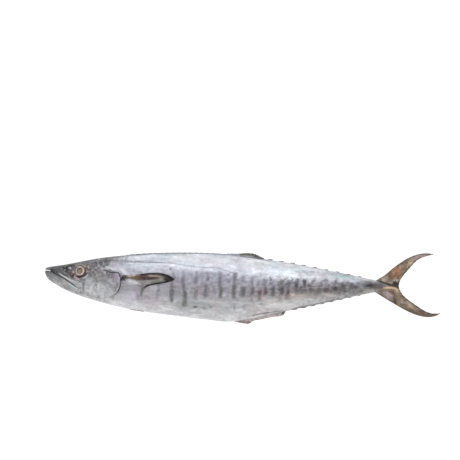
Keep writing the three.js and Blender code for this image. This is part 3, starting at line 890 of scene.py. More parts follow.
FLANK_SPOTS = [
    ("maroon", 513, -7.6, 4.4, 4.4, 0.95), ("ink", 268.2, -50.4, 4, 2, 0.75),
    ("bar", 285, -51, 4.4, 3, 0.5), ("slate", 294.8, -48.6, 4.4, 1.8, 0.5),
    ("bar", 321.6, -48.6, 3.4, 2, 0.4), ("bar", 337, -47, 2.4, 5, 0.5), ("bar", 353, -48, 2.4, 5, 0.3),
    ("mauve", 367, -34, 3, 5, 0.5), ("bar", 383, -39.6, 2.4, 2.4, 0.45),
    ("slate", 141.4, 27, 1.8, 5, 0.5), ("slate", 149, 24, 4, 1, 0.4), ("slate", 164, 24.8, 4.4, 1.4, 0.5),
    ("ink", 221.6, 14.8, 3, 1.5, 0.85), ("maroon bar", 247, -11, 3, 3, 0.4),
    # painted highlights: the broad white dabs near u 270 and u 350 brighten the band along the back, the
    # cream dab near u 438 is a small painted highlight low on the flank, and the mint dab near u 525 a
    # painted greenish sheen
    ("white", 270, 34, 50, 8, 0.35), ("mint", 525, 14.4, 15, 3, 0.7), ("mint", 440, 23, 24, 1.6, 0.2),
    ("rose", 440, -25, 17, 5, 0.4), ("rose", 472, -22, 18, 4, 0.4), ("rose", 502, -19, 16, 4, 0.4),
    ("cream", 438, -21, 5, 2.6, 0.7), ("cream", 456, -22, 10, 2, 0.4), ("rose", 384, -30, 8, 5, 0.35),
    ("lilac", 165, -34, 16, 12, 0.22), ("lilac", 195, -44, 20, 9, 0.18),
    # the white dab near u 350 is a painted highlight along the back
    ("faint bar", 277, 8, 46, 6, 0.4), ("taupe", 470, -11, 44, 7, 0.25), ("white", 350, 30, 60, 9, 0.15),
    ("slate", 176, 25, 40, 3, 0.16), ("lilac", 330, 22, 60, 3, 0.2), ("moss", 270, -48, 44, 8, 0.3),
    ("moss", 548, -11, 22, 4, 0.4), ("slate", 530, -12, 26, 9, 0.42), ("steel", 470, 19, 36, 3, 0.3),
    ("steel", 532, 19, 24, 4, 0.6), ("silver", 462, -33, 40, 4, 0.5), ("lilac", 478, 15, 24, 2, 0.3),
    ("white", 424, -42, 26, 7, 0.4), ("slate", 476, -22, 28, 5, 0.3), ("bar", 520, 4.4, 24, 3, 0.35),
    ("slate", 455, -43, 9, 4, 0.3),
]
FLANK_BLOTCHES = [
    ("speckle", 21, ["steel", "silver", "lavender"], 150, (140, 560), (-66, 10), (1.5, 5), 0.26),
    ("speckle", 22, ["white", "lilac", "steel", "white"], 70, (140, 560), (10, 42), (2, 6), 0.22),
]
FLANK_STROKES = [
    ("speckle", 23, ["dark bar", "bar", "maroon bar", "olive bar"], 84, (395, 560), (-17, 6),
        (1.3, 3.0), 0.75),
    ("speckle", 24, ["bar", "faint bar"], 46, (226, 395), (-32, 13), (1.2, 2.6), 0.5),
    ("speckle", 25, ["mauve", "pink", "olive bar"], 30, (360, 520), (-38, -16), (1.2, 2.6), 0.4),
    ("line", "faint bar", [(200, -15), (203.6, -22), (201, -27)], 2.0, 0.8),
    ("line", "faint bar", [(202, -31), (199.6, -38)], 2.0, 0.7),
    ("line", "silver", LATERAL_LINE[15:19], 1.0, 0.3, (0.2, 0.2)),
    ("line", "mauve", [(364, -62), (376, -59), (388, -55.8), (400, -53.8), (412, -51.8),
        (424, -49.4)], 1.8, 0.75, (0.1, 0.05)),
    ("dab", "slate", 363, -62.6, 3, 1.3, 0.7), ("dab", "slate", 371, -61.8, 3, 1.2, 0.5),
    ("dab", "slate", 392, -56.4, 5, 1.6, 0.5, 12),
    ("line", "slate", [(426, -50.8), (436, -48), (460, -41.4), (480, -36.2), (500, -30.6),
        (520, -25.4), (545, -18.6)], 2.8, 0.66, (0.12, 0.3)),
    ("line", "maroon bar", [(440, -46.6), (456, -42.4), (474, -37.8)], 2.4, 0.4, (0.45, 0.45)),
    ("line", "olive", [(336, 43), (350, 43.6), (362, 42.4), (374, 40), (390, 37.6),
        (408, 35)], 2.6, 0.42, (0.25, 0.4)),
]
HEAD_STROKES = [
    # dark top of the snout, lighter jaw
    ("dab", "dark slate", 25, 5.8, 25, 6, 0.6, 12), ("dab", "dark slate", 55, 15.6, 17, 3, 0.5, 16),
    ("dab", "ink", 40, 10.2, 12, 3.2, 0.6, 16), ("dab", "ink", 17, 0.9, 8, 2.6, 0.75, -18),
    ("dab", "maroon", 13.6, 1.8, 3, 1.6, 0.6), ("dab", "ink", 40.4, 4.0, 3.6, 7.6, 0.8),
    ("speckle", 31, ["ink", "slate", "steel", "ink", "silver"], 90, (6, 58), (-2, 15), (0.8, 2.0), 0.55),
    ("line", "steel", [(4, 5.4), (16, 7), (30, 9.6), (44, 12)], 1.5, 0.45, (0.2, 0.3)),
    ("line", "steel", [(20, 3.6), (28, 0.2), (34, -2.6)], 1.6, 0.75, (0.2, 0.3)),
    ("line", "ink", [(24, 12), (50, 17.4), (75, 22.6), (98, 27.8), (112, 30.6)], 2.6, 0.55, (0.2, 0.3)),
    ("dab", "ink", 33, 4.4, 6, 5, 0.36), ("dab", "ink", 46.4, 12, 8, 3, 0.5, 14),
    ("dab", "silver", 28, -19, 13, 4, 0.22, -32), ("dab", "slate", 29, -1, 18, 8, 0.32, -6),
    ("dab", "slate", 7, -4, 7, 4, 0.55, -20), ("dab", "slate", 11, -10, 9, 6, 0.36, -30),
    ("dab", "slate", 27, -5, 17, 7, 0.35, -28), ("dab", "steel", 22, -9.6, 15, 5, 0.55, -32),
    ("dab", "steel", 34, -20, 22, 6, 0.42, -30),
    ("speckle", 32, ["steel", "silver", "slate", "white"], 80, (4, 72), (-38, -6), (0.9, 2.4), 0.42),
    ("dab", "beige", 36, -18.6, 7, 4, 0.5, -34), ("dab", "mint", 48, -22.4, 8, 3.4, 0.36, -26),
    ("line", "silver", [(24, -0.4), (31, -4.6), (39, -9.2), (47, -13),
        (55, -17.6)], 2.0, 0.85, (0.2, 0.2)),
    ("dab", "slate", 67, -14.6, 12, 7, 0.5, -14), ("dab", "silver", 64.6, -20.4, 4.6, 4.2, 0.55, -20),
    ("line", "steel", [(58, -24.6), (62, -26), (67, -24.6), (69.6, -20),
        (67, -15.6)], 1.6, 0.6, (0.2, 0.2)),
    ("line", "slate", [(70.6, -13), (71.4, -19), (70.6, -26), (71.6, -33)], 2.2, 0.7, (0.1, 0.4)),
    ("line", "slate", [(65, -29), (65.6, -36)], 1.6, 0.4, (0.2, 0.4)),
    # round the eye
    ("dab", "bark", 58, 15, 12, 3.6, 0.45, 8), ("dab", "brown", 48.6, -0.6, 5, 7, 0.7, -10),
    ("dab", "maroon", 50.4, -5.2, 5, 3.2, 0.75, -20), ("dab", "bark", 76, 8.6, 6, 7, 0.8),
    ("dab", "brown", 72, 4, 3, 6, 0.7, -10), ("dab", "maroon", 82, 8.4, 3.6, 2.2, 0.55, -20),
    ("dab", "mauve", 86, 3.6, 7, 3.4, 0.6, -14),
    ("line", "maroon", [(44.4, -2), (51, -7), (58, -7.6), (65, -6.4), (71.4, -3), (75, 2),
        (75.4, 7)], 3.2, 0.9, (0.05, 0.2)),
    ("line", "ink", [(55, -5.8), (62, -6.4), (68, -4.8), (72.6, -0.6)], 2.4, 0.8, (0.2, 0.2)),
    ("line", "pink", [(51.6, -5.6), (56, -8), (61, -10.4), (65, -12)], 2.6, 0.75, (0.15, 0.3)),
    ("line", "silver", [(66, -9.6), (71, -7.6), (76, -3.6), (78.6, 1)], 1.6, 0.7, (0.2, 0.3)),
    ("dab", "beige", 77.4, 11, 3.2, 2.2, 0.85, -20), ("dab", "pink", 51.4, 1.8, 1.8, 2.4, 0.75),
    ("dab", "pink", 48, -3.2, 1.6, 1.4, 0.5), ("dab", "silver", 44.4, 8.2, 3, 2.4, 0.65),
    *[("dab", "beige", u, t, 1.5, 1.3, 0.7) for u, t in ((57.4, 11.8), (60, 14.6), (63.4, 16.2),
        (67.4, 15.4), (71, 12.6))],
    # cheek and gill cover
    ("dab", "silver", 80, -20, 9, 13, 0.5), ("dab", "moss", 101, -6, 10, 10, 0.24, 10),
    ("dab", "silver", 106, -32, 22, 12, 0.45), ("dab", "white", 84, -30, 8, 4, 0.5),
    ("dab", "silver", 104, 9, 6, 5, 0.4), ("dab", "slate", 115, 0, 12, 4, 0.34),
    ("dab", "slate", 120, -2.4, 5, 3.4, 0.4), ("dab", "white", 98, -20.6, 2.8, 2.4, 0.6),
    ("speckle", 33, ["steel", "slate", "silver", "white", "mauve", "moss"], 120, (76, 132), (-44, 4),
        (1.1, 2.8), 0.42),
    ("speckle", 34, ["slate", "ink", "slate", "silver"], 74, (84, 128), (6, 27), (0.9, 2.2), 0.65),
    ("speckle", 35, ["moss", "slate", "white"], 36, (84, 112), (-52, -38), (0.9, 2), 0.5),
    ("speckle", 36, ["lilac", "slate", "white"], 40, (112, 150), (14, 33), (1.2, 2.6), 0.35),
    # the silver dab near u 115, above the top of the gill opening, is a painted highlight
    ("dab", "lavender", 128, 14, 15, 8, 0.5, -20), ("dab", "silver", 115, 11.4, 8, 2.6, 0.8, -22),
    ("dab", "lavender", 124, 8.4, 7, 2.4, 0.6, -18), ("dab", "lilac", 128, -3.6, 7.4, 4.2, 0.5, -10),
    ("speckle", 37, ["lilac", "mauve", "lavender", "ink"], 22, (119, 135), (-9, 1), (0.9, 2), 0.6),
    ("line", "moss", [(127, -33), (121, -37.6), (113, -41)], 2.0, 0.6, (0.0, 0.5)),
    ("line", "moss", [(129, -8), (129.6, -18), (126.6, -27), (120, -34)], 2.6, 0.4, (0.3, 0.4)),
    ("dab", "white", 138, 6, 10, 4.4, 0.38, -20), ("dab", "lavender", 150, -38, 22, 10, 0.45),
    # root of the pectoral fin: painted shade where the fin enters the flank, and the steel line above it a
    # painted shadow of the fin's upper edge on the flank
    ("line", "ink", [(150, -1.6), (144, -1.6), (139.4, -3.4), (136.6, -8)], 4.0, 0.9, (0.2, 0.0)),
    ("line", "steel", [(150, 11), (156, 9), (162, 7), (170, 6.6), (176, 7)], 4.4, 0.75, (0.3, 0.2)),
    ("dab", "silver", 150, -12, 9, 4, 0.3), ("dab", "silver", 194.4, -19, 8, 5, 0.42),
    ("dab", "slate", 167.6, -37, 4, 6, 0.3, -10), ("dab", "maroon", 141.6, -1.6, 3.4, 2.4, 0.7),
]
# Where the body runs out in the tail: the root, the split between the lobes, drawn dark as painted shade
# where the upper lobe lies over the lower, and the stripes beside it.
TAIL_ROOT_STROKES = [
    ("dab", "taupe", 594, -1, 13, 10, 0.75), ("dab", "beige", 598, 11, 8, 3, 0.4, 40),
    ("line", "moss", [(592, 6.4), (599, 4.0), (607, 0.8)], 2.4, 0.75, (0.1, 0.1)),
    ("line", "lichen", [(595, 5.2), (601, 3.0), (607, 0.6)], 1.2, 0.6, (0.2, 0.2)),
    # painted shade: the black and maroon lines along the split, where the upper lobe lies over the lower
    ("line", "ink", [(588.6, 9.4), (596, 7.6), (603, 5.4), (611, 3.2),
        (622, 1.6)], 2.3, 0.95, (0.1, 0.0)),
    ("line", "maroon", [(607, 2.4), (615, 1.4), (623, 0.8)], 2.0, 0.7, (0.2, 0.0)),
    ("line", "sand", [(594, -3.6), (603, -2), (612.6, -1.8), (619, -3.4),
        (625, -8)], 3.4, 0.75, (0.25, 0.15)),
    ("line", "cream", [(599, -2.6), (606, -1.4), (613, -1)], 1.2, 0.6, (0.3, 0.2)),
    ("line", "straw", [(588, -5), (598, -5.4), (608, -6)], 2.4, 0.4, (0.3, 0.3)),
]
PEDUNCLE_STROKES = [
    ("dab", "slate", 574, 2.6, 22, 7, 0.72, -6), ("dab", "ink", 574, 0.9, 10, 2.4, 0.95),
    ("dab", "dark slate", 582, 1, 10, 5, 0.5), ("dab", "bark", 584, -1, 8, 2.4, 0.5), *TAIL_ROOT_STROKES,
    ("dab", "silver", 571, 9.6, 14, 2, 0.35, -8), ("dab", "moss", 566, -7, 14, 3, 0.4, 10),
]


def paint_body(skin):
    """The skin's strokes, from the blotches under them all to those of the tail root."""
    paint = Paint(skin, 0.9)
    paint.strokes(FLANK_BLOTCHES)
    for row in FLANK_BARS:
        paint.bar(*row)
    for row in FLANK_SPOTS:
        paint.dab(*row)
    paint.strokes(FLANK_STROKES)
    paint.strokes(HEAD_STROKES)
    thin_out(paint)
    # the back's dark top edge, partly its own colour and partly painted shadow
    paint.line("slate", NAPE_LINE, 3.6, 0.55, (0.2, 0.3))
    paint.strokes(PEDUNCLE_STROKES)
    paint.store()


def thin_out(paint):
    """Breaks the head's strokes up where the skin turns under, to stop them running on as stripes."""
    middle, half, _ = inner_ring(paint.u)
    turning = smooth(np.abs(paint.t - middle) / half, 0.9, 0.99) * (1 - smooth(paint.u, 118, 145))
    kept = 1 - turning * np.clip(0.6 + 0.9 * waver(paint.u, paint.z, 9, 61), 0, 1)
    paint.alpha *= kept
    paint.rgb *= kept[:, None]


# ---------------------------------------------------------------- fins


def turned_about(centre, angle):
    """Turns the selection about the upright line through a point, anticlockwise seen from above."""
    bpy.ops.transform.rotate(value=-angle, orient_axis="Z", center_override=centre)


def fan(name, leading, rays, points=12):
    """A fin's blade from its first ray: each next ray is the last one moved over, turned and shortened.

    leading is the first ray from root to tip, and rays the roots and tips of the ones after it. The
    rays are set out straight, then bowed as the first one is, less and less towards the last."""
    line = smooth_line(leading, 8)
    gaps = np.concatenate([[0], np.cumsum(np.linalg.norm(np.diff(line, axis=0), axis=1))])
    marks = np.linspace(0, 1, points)
    line = np.stack([np.interp(marks * gaps[-1], gaps, column) for column in line.T], axis=1)
    chord = line[0] + marks[:, None] * (line[-1] - line[0])
    step = (place(*line[-1], 0) - place(*line[0], 0)) / (points - 1)
    deselect()
    bpy.ops.mesh.primitive_plane_add(size=MM, location=place(*line[0], 0))
    blade = settle(bpy.context.object)
    blade.name = name
    with editing(blade):
        bpy.ops.mesh.merge(type="CENTER")
        mesh = bmesh.from_edit_mesh(blade.data)
        mesh.verts.layers.float.new("reach")
        mesh.verts.layers.float.new("ray")
        for mark in marks[1:]:
            bpy.ops.mesh.extrude_vertices_move(TRANSFORM_OT_translate={"value": step})
            mark_selected(blade, "reach", mark)
        bpy.ops.mesh.select_all(action="SELECT")
        root, tip = Vector(line[0]), Vector(line[-1])
        for j, (new_root, new_tip) in enumerate(rays, 1):
            new_root, new_tip = Vector(new_root), Vector(new_tip)
            old, new = tip - root, new_tip - new_root
            centre = place(*new_root, 0)
            move = centre - place(*root, 0)
            bpy.ops.mesh.extrude_edges_move(TRANSFORM_OT_translate={"value": move})
            turned_about(centre, math.atan2(new.y, new.x) - math.atan2(old.y, old.x))
            size = new.length / old.length
            bpy.ops.transform.resize(value=(size, size, 1), center_override=centre)
            mark_selected(blade, "ray", j)
            root, tip = new_root, new_tip
    reach, ray = noted(blade, "reach"), noted(blade, "ray")
    share = (1 - ray / len(rays)) ** 3
    for axis, column, straight in zip("XY", line.T, chord.T):
        raise_by(blade, np.interp(reach, marks, column - straight) * share, axis)
    return blade


def mark_selected(piece, layer_name, value):
    """Stores a number on the vertices that are selected in edit mode."""
    mesh = bmesh.from_edit_mesh(piece.data)
    layer = mesh.verts.layers.float[layer_name]
    for vert in mesh.verts:
        if vert.select:
            vert[layer] = value
    bmesh.update_edit_mesh(piece.data)


def face_up(blade):
    """Turns an open blade's faces to the upper side."""
    up = sum(face.normal.z * face.area for face in blade.data.polygons)
    if up < 0:
        with editing(blade):
            bpy.ops.mesh.flip_normals()


def thicken(blade, root_mm, margin_mm, ripple, tuck=0):
    """Gives a blade its thickness, thinner towards the margin, with its rays standing out.

    The last rays run out thin, as many of them as tuck says, where another blade lies over them."""
    reach, ray = noted(blade, "reach"), noted(blade, "ray")
    share = margin_mm / root_mm + (1 - margin_mm / root_mm) * (1 - np.sqrt(np.clip(reach, 0, 1)))
    if tuck:
        share *= 1 - 0.9 * smooth(ray, ray.max() - tuck, ray.max())
    name = group_of(blade, "thick", share)
    finish_with(
        blade, "SOLIDIFY", thickness=root_mm * MM, offset=0, vertex_group=name, thickness_vertex_group=0,
        use_even_offset=False,
    )
    blade.vertex_groups.clear()
    sharp = math.radians(55)
    finish_with(blade, "BEVEL", width=0.4 * MM, segments=2, limit_method="ANGLE", angle_limit=sharp)
    rays = np.cos(2 * math.pi * noted(blade, "ray")) * smooth(noted(blade, "reach"), 0.15, 0.45)
    raise_by(blade, ripple * rays)


def rim_of(blade, margin, first=0):
    """How close each vertex is to the blade's margin, and to its first ray, as 0 to 1."""
    near = smooth(noted(blade, "reach"), 1 - margin, 1)
    if first:
        near = np.maximum(near, 1 - smooth(noted(blade, "ray"), 0, first))
    return near


def middle_blade(name, leading, rays, thick, levels=2, points=12):
    """A fin that stands in the fish's middle plane."""
    blade = fan(name, leading, rays, points)
    face_up(blade)
    subdivide(blade, levels, boundary_smooth="PRESERVE_CORNERS")
    raise_by(blade, middle_height(measures(blade)[0]), "Z")
    thicken(blade, *thick)
    return blade


def finished_fin(fin, strokes=(), wander=1.0):
    """Smooths a fin's shading and gives it its strokes."""
    smooth_shaded(fin, FIN_CREASE)
    return paint_over(fin, strokes, wander)


def joined(name, pieces):
    """Makes one piece of several."""
    deselect()
    for piece in pieces:
        piece.select_set(True)
    bpy.context.view_layer.objects.active = pieces[0]
    bpy.ops.object.join()
    pieces[0].name = name
    return pieces[0]


UPPER_LOBE = [
    (578, 6.5), (588, 12.4), (602, 22.4), (611, 31), (620, 38.4), (630, 46), (640, 52.4), (650, 57.2),
    (660, 60.4), (672, 62.2), (685, 60.6),
]
UPPER_RAYS = [
    ((579, 6), (676, 58.4)), ((580, 5.4), (667, 55.4)), ((581, 4.8), (659, 51.6)),
    ((582, 4.2), (652.6, 46.4)), ((583, 3.6), (647, 39.6)), ((584, 3), (642, 33.6)),
    ((585, 2.4), (637, 27.4)), ((586, 1.8), (632.4, 21.4)), ((586, 1), (628.6, 15.8)),
    ((586, 0), (626.2, 10.4)), ((586, -1.4), (625.2, 5.2)), ((586, -3), (624.6, 0)),
    ((586, -4.4), (624.2, -4)),
]
LOWER_LOBE = [
    (578, -7.5), (590, -14.6), (602, -21), (620, -30.6), (640, -40.6), (655, -46.6), (670, -50.2),
    (684, -50.4), (694, -47.8), (701, -42.6),
]
LOWER_RAYS = [
    ((579, -7), (691, -44.2)), ((580, -6.4), (681, -43.4)), ((581, -5.8), (671, -39.2)),
    ((582, -5.2), (661, -33.2)), ((583, -4.4), (651, -27)), ((584, -3.8), (642, -21.2)),
    ((585, -3), (635, -15.8)), ((586, -2), (630.4, -10.6)), ((586, -0.8), (627.4, -5.8)),
    ((586, 0.6), (625.4, -1)), ((586, 2.4), (624.6, 4)),
]
UPPER_SMALL_KEEL = [(584, 8.4), (592, 7), (600, 4.8), (608, 2.4)]
LOWER_SMALL_KEEL = [(584, -6), (592, -5), (600, -3.6), (608, -2)]
# How thick a blade is at root and margin, how far its rays stand out, and how many last ones run out thin.
LOBE_THICK = (4.0, 1.3, 0.22, 3)
TAIL_STROKES = [
    ("speckle", 41, ["bark", "straw", "olive tan", "sand", "mauve", "moss"], 170, (590, 690),
        (-50, 60), (1.1, 3.2), 0.5),
    ("dab", "orange", 616, 24, 10, 7, 0.36, 48), ("dab", "orange", 624, 32.6, 6, 5, 0.5, 45),
    ("dab", "red brown", 612.6, 17.6, 7, 3.6, 0.75, 24),
    ("speckle", 42, ["red brown", "orange", "bark", "sand", "olive tan"], 40, (602, 632), (12, 40),
        (1, 2.6), 0.6),
    ("speckle", 44, ["bark", "olive", "sand", "mauve", "olive tan"], 90, (598, 640), (6, 46),
        (0.8, 1.7), 0.55),
    ("line", "olive", [(628, 13), (633, 23), (641, 34), (651, 43.4)], 3.0, 0.75, (0.1, 0.3)),
    ("dab", "slate", 636, 48, 9, 4, 0.4, 40), ("dab", "sand", 642, 42, 8, 4, 0.35, 40),
    ("dab", "ash rose", 656, 54, 15, 3.6, 0.5, 24), ("dab", "mauve", 674, 60, 12, 3, 0.6, 4),
    # painted shade in the fold of the torn split (the ink dab), and small painted highlights on its torn edge
    # (the white dabs)
    *TAIL_ROOT_STROKES, ("dab", "ink", 619.4, 5.6, 5.4, 3.8, 0.95),
    *[("dab", "white", u, t, 1.4 * r, r, 0.8, 15) for u, t, r in ((616.4, 11, 0.9), (619.4, 11.8, 1.0),
        (622.2, 12.8, 0.9), (613.2, 8, 0.9))],
    # the lower lobe
    ("dab", "ash rose", 606.6, -14.4, 8.4, 4.4, 0.85, -36),
    ("speckle", 43, ["ash rose", "mauve", "silver", "bark"], 22, (599, 616), (-22, -9), (0.9, 2), 0.5),
    ("line", "red brown", [(605, -7.4), (613, -9), (620, -13)], 2.4, 0.75, (0.2, 0.3)),
    ("line", "ink", [(614.4, -17.4), (617.6, -22), (621.4, -28.4)], 3.0, 0.75, (0.2, 0.0)),
    ("dab", "olive tan", 628, -22, 8, 3.4, 0.5, -34), ("dab", "pink", 634, -26, 7, 3, 0.35, -34),
    ("dab", "sand", 647, -31, 7.4, 4, 0.6, -34), ("dab", "orange", 648, -32, 5, 2.4, 0.3, -34),
    ("speckle", 45, ["bark", "olive", "sand", "mauve", "rose", "lichen"], 80, (612, 668), (-46, -8),
        (0.8, 1.8), 0.5),
    ("line", "olive", [(625, -3), (629, -9), (639, -19.4), (653, -29.4),
        (668, -38.6)], 2.0, 0.6, (0.1, 0.2)),
    ("line", "olive", [(640, -38), (652, -43), (664, -46.6)], 4.4, 0.6, (0.2, 0.2)),
    ("dab", "brown", 666, -44.6, 9, 3.4, 0.6, -20), ("dab", "bark", 684, -46.4, 14, 3.6, 0.85, 8),
    ("dab", "ink", 692, -45.4, 8, 2.4, 0.5, 20),
    # the front edge of each lobe
    ("line", "slate", [(582, 9), (602, 24.6), (618, 38.4), (636, 51.4), (650, 59), (664, 62.4),
        (684, 61)], 1.6, 0.6, (0.1, 0.1)),
    ("line", "bark", [(584, -9), (600, -20), (616, -28), (646, -43), (665, -49),
        (680, -49.6)], 1.8, 0.6, (0.1, 0.1)),
]


def make_tail():
    """The two lobes as one piece, with the small keels at their root."""
    lobes = [
        middle_blade("upper_lobe", UPPER_LOBE, UPPER_RAYS, LOBE_THICK, points=14),
        middle_blade("lower_lobe", LOWER_LOBE, LOWER_RAYS, LOBE_THICK, points=14),
    ]
    for lobe in lobes:
        note(lobe, "rim", 0.8 * rim_of(lobe, 0.05, 0.7))
    tail = joined("tail_fin", lobes)
    u, t, _ = measures(tail)
    ridges = np.zeros(len(u))
    for ridge in (UPPER_SMALL_KEEL, LOWER_SMALL_KEEL):
        far, along = from_line(ridge, u, t)
        ridges += 1.6 * hump(far, 1.3) * smooth(along, 0, 0.2) * smooth(1 - along, 0, 0.4)
    raise_by(tail, ridges)
    return finished_fin(tail, TAIL_STROKES, 2.0)


CLEAR_OF_BODY = 90.0
FIN_OFF_SKIN = 0.6
PECTORAL_RAY = [(140, -1.4), (158, 1.4), (175, 4.4), (192, 6.6), (208, 6.2), (220, 3.4), (230, -3)]
PECTORAL_RAYS = [
    ((140, -2.4), (225, -6.6)), ((139.8, -3.6), (215, -9.4)), ((139.6, -4.8), (204, -12.2)),
    ((139.4, -6), (193, -14.2)), ((139.2, -7.2), (183, -16.6)), ((139, -8.4), (177, -22.4)),
    ((138.8, -9.6), (175, -30)), ((138.6, -10.8), (173, -37)), ((138.4, -12), (170.6, -43)),
]
PECTORAL_STROKES = [
    ("speckle", 51, ["silver", "steel", "lavender"], 34, (146, 176), (-34, -7), (1, 2.4), 0.4),
    ("line", "taupe", [(152, -4), (170, -3), (190, 0), (214, 0)], 9, 0.75, (0.2, 0.0)),
    ("line", "lichen", [(176, -9), (188, -7.4), (200, -5.4), (212, -4)], 5.4, 0.65, (0.3, 0.1)),
    ("line", "moss", [(186, -11), (198, -8), (210, -6)], 4, 0.6, (0.2, 0.2)),
    ("line", "beige", [(180, 0.4), (190, 1.2), (198, 1.6), (207, 1.2)], 2.0, 0.75, (0.3, 0.2)),
    ("line", "brown", [(166, 0.6), (174, 1.2), (184, 2.2)], 3.0, 0.8, (0.3, 0.3)),
    ("line", "brown", [(158, -3), (175, -3.4), (190, -2.6), (207, -0.8)], 5.2, 0.95, (0.2, 0.2)),
    ("line", "ink", [(168, -2.6), (185, -2.4), (202, -0.8)], 2.4, 0.7, (0.2, 0.3)),
    ("line", "rose", [(184, -0.4), (194, 0.4), (204, 0.6)], 1.2, 0.5, (0.2, 0.2)),
    ("line", "gold", [(142, -2.2), (152, -2.4), (162, -2.8), (172, -3.2)], 3.6, 0.8, (0.05, 0.35)),
    ("dab", "dark slate", 146, -2.6, 5, 4, 0.7), ("dab", "white", 157, -11.6, 11, 4, 0.55, -10),
    ("line", "ink", [(170, -4.6), (182, -5.4), (194, -5.6)], 2.6, 0.5, (0.3, 0.4)),
    ("line", "bark", [(142, -3.4), (152, -4.2), (164, -5), (174, -5.2)], 1.5, 0.8, (0.05, 0.3)),
    ("dab", "brown", 166, -2.2, 7, 1.6, 0.7), ("dab", "bark", 147, -1, 4, 1.4, 0.6),
    ("dab", "cream", 150, -1.6, 3, 1.0, 0.5),
    ("line", "sand", [(144, -0.6), (152, 0.2), (158, 0.8)], 1.6, 0.5, (0.2, 0.2)),
    ("dab", "cream", 158.6, 1.2, 4, 1.5, 0.6),
    ("line", "bark", [(141, -0.6), (150, 1.6), (160, 2.8), (168, 3.4)], 1.5, 0.75, (0.1, 0.0)),
    ("line", "ink", [(164, 2.2), (178, 4.8), (192, 6.2), (206, 5.4), (218, 2)], 5.4, 0.95, (0.2, 0.0)),
    ("line", "maroon", [(170, 2.0), (184, 4.2), (198, 4.6), (208, 3)], 2.4, 0.8, (0.2, 0.2)),
    ("line", "ink", [(222, -6), (210, -10), (200, -12), (193, -13.8), (183, -16.8),
        (175, -22.6)], 3.4, 0.97),
    ("line", "steel", [(176.4, -21.6), (174.6, -28), (173, -34), (171, -41)], 4.4, 0.75, (0.0, 0.1)),
    ("dab", "slate", 170.4, -39, 4, 5, 0.6),
    ("line", "moss", [(176.4, -21.6), (174.6, -28), (173, -34)], 3.0, 0.5, (0.0, 0.3)),
    # the ink dab at the root, near u 140, is painted shade where the fin enters the skin
    ("dab", "ink", 220, -2.4, 9.6, 7.4, 1.0), ("dab", "ink", 139.6, -5, 2.8, 6, 0.85, 20),
]


def make_pectoral(name, flank, skin):
    """The fin is made level beside the flank, laid onto it and sunk into the skin at its root."""
    blade = fan(name, PECTORAL_RAY, PECTORAL_RAYS, 14)
    face_up(blade)
    subdivide(blade, 2, boundary_smooth="PRESERVE_CORNERS")
    raise_by(blade, np.full(len(blade.data.vertices), CLEAR_OF_BODY * flank), "Z")
    if flank < 0:
        with editing(blade):
            bpy.ops.mesh.flip_normals()
    finish_with(
        blade, "SHRINKWRAP", target=skin, wrap_method="PROJECT", offset=FIN_OFF_SKIN * MM,
        use_project_x=False, use_project_y=False, use_project_z=True,
        use_negative_direction=True, use_positive_direction=True,
    )
    reach, ray = noted(blade, "reach"), noted(blade, "ray")
    # the root plunges into the skin, and of the lower rays only the margin shows, flush with the flank
    lower = smooth(ray, 4.5, 7)
    lift = 0.9 * smooth(reach, 0.25, 1.0) * (1 - 0.8 * lower) - 1.8 * (1 - smooth(reach, 0, 0.06))
    raise_by(blade, lift - 1.9 * lower * (1 - smooth(reach, 0.8, 0.95)) - 1.3 * smooth(ray, 7.1, 8.3))
    note(blade, "ray", np.minimum(ray, 5.5))
    thicken(blade, 1.8, 0.7, 0.2)
    u, _, z = measures(blade)
    raise_by(blade, pressed(z, clearance(u) + 0.15, 0.4) - z, "Z")
    note(blade, "rim", rim_of(blade, 0.05, 0.4) * (1 - smooth(noted(blade, "ray"), 4.6, 5.4)))
    return finished_fin(blade, PECTORAL_STROKES, 0.8)


def edge_fan(name, edge, side, stations, heights, sweep, thick):
    """A low fin along the edge of the body. Its rays lean back by sweep millimetres for each of height."""
    roots = [(u, float(edge(u)) - FIN_ROOT * side) for u in stations]
    tips = [(u + sweep * h, float(edge(u + sweep * h)) + side * h) for u, h in zip(stations, heights)]
    first = [roots[0], tuple((np.array(roots[0]) + np.array(tips[0])) / 2), tips[0]]
    return middle_blade(name, first, list(zip(roots[1:], tips[1:])), thick, points=5)


# Stations of the rays and how far they stand out.
SECOND_FIN = [
    (315, 0.8), (320, 1.8), (326, 2.4), (332, 2.6), (338, 3.4), (344, 5.0), (351, 6.2), (358, 6.8),
    (364, 6.4), (370, 4.6), (377, 3.0), (384, 1.2),
]
ANAL_FIN = [
    (338, 0.8), (344, 3.2), (350, 5.6), (356, 8.2), (361, 7.4), (368, 3.4), (376, 4.6), (385, 4.8),
    (394, 4.8), (403, 5.4), (411, 6.4), (417, 6.6), (421, 5.0), (424, 2.6), (427, 0.4),
]
BACK_FIN_STROKES = [
    # the first back fin's dark line: partly the back's own dark colour, partly painted shadow along the top
    # edge
    ("line", "slate", [(140, 35.6), (160, 38.2), (185, 40.2), (205, 41.4)], 4, 0.75, (0.1, 0.3)),
    ("line", "olive", [(338, 45.4), (350, 47.4), (362, 46.8), (374, 43),
        (388, 39.4)], 5.4, 0.9, (0.15, 0.0)),
    ("dab", "bark", 356, 48.6, 12, 2, 0.5),
]
ANAL_FIN_STROKES = [
    ("line", "mauve", [(343, -72), (352, -74), (360, -74.6), (367, -71.6)], 5, 0.85, (0.2, 0.1)),
    ("line", "bark", [(350, -76.6), (358, -77.6), (366, -74), (376, -69.4), (386, -67),
        (396, -64)], 2.4, 0.6, (0.2, 0.3)),
    ("line", "pink", [(394, -63), (404, -61.4), (414, -59.6)], 3, 0.5, (0.2, 0.3)),
    ("dab", "slate", 423.6, -54, 4, 5, 0.85), ("dab", "mauve", 412, -57, 8, 2.4, 0.4, 14),
]


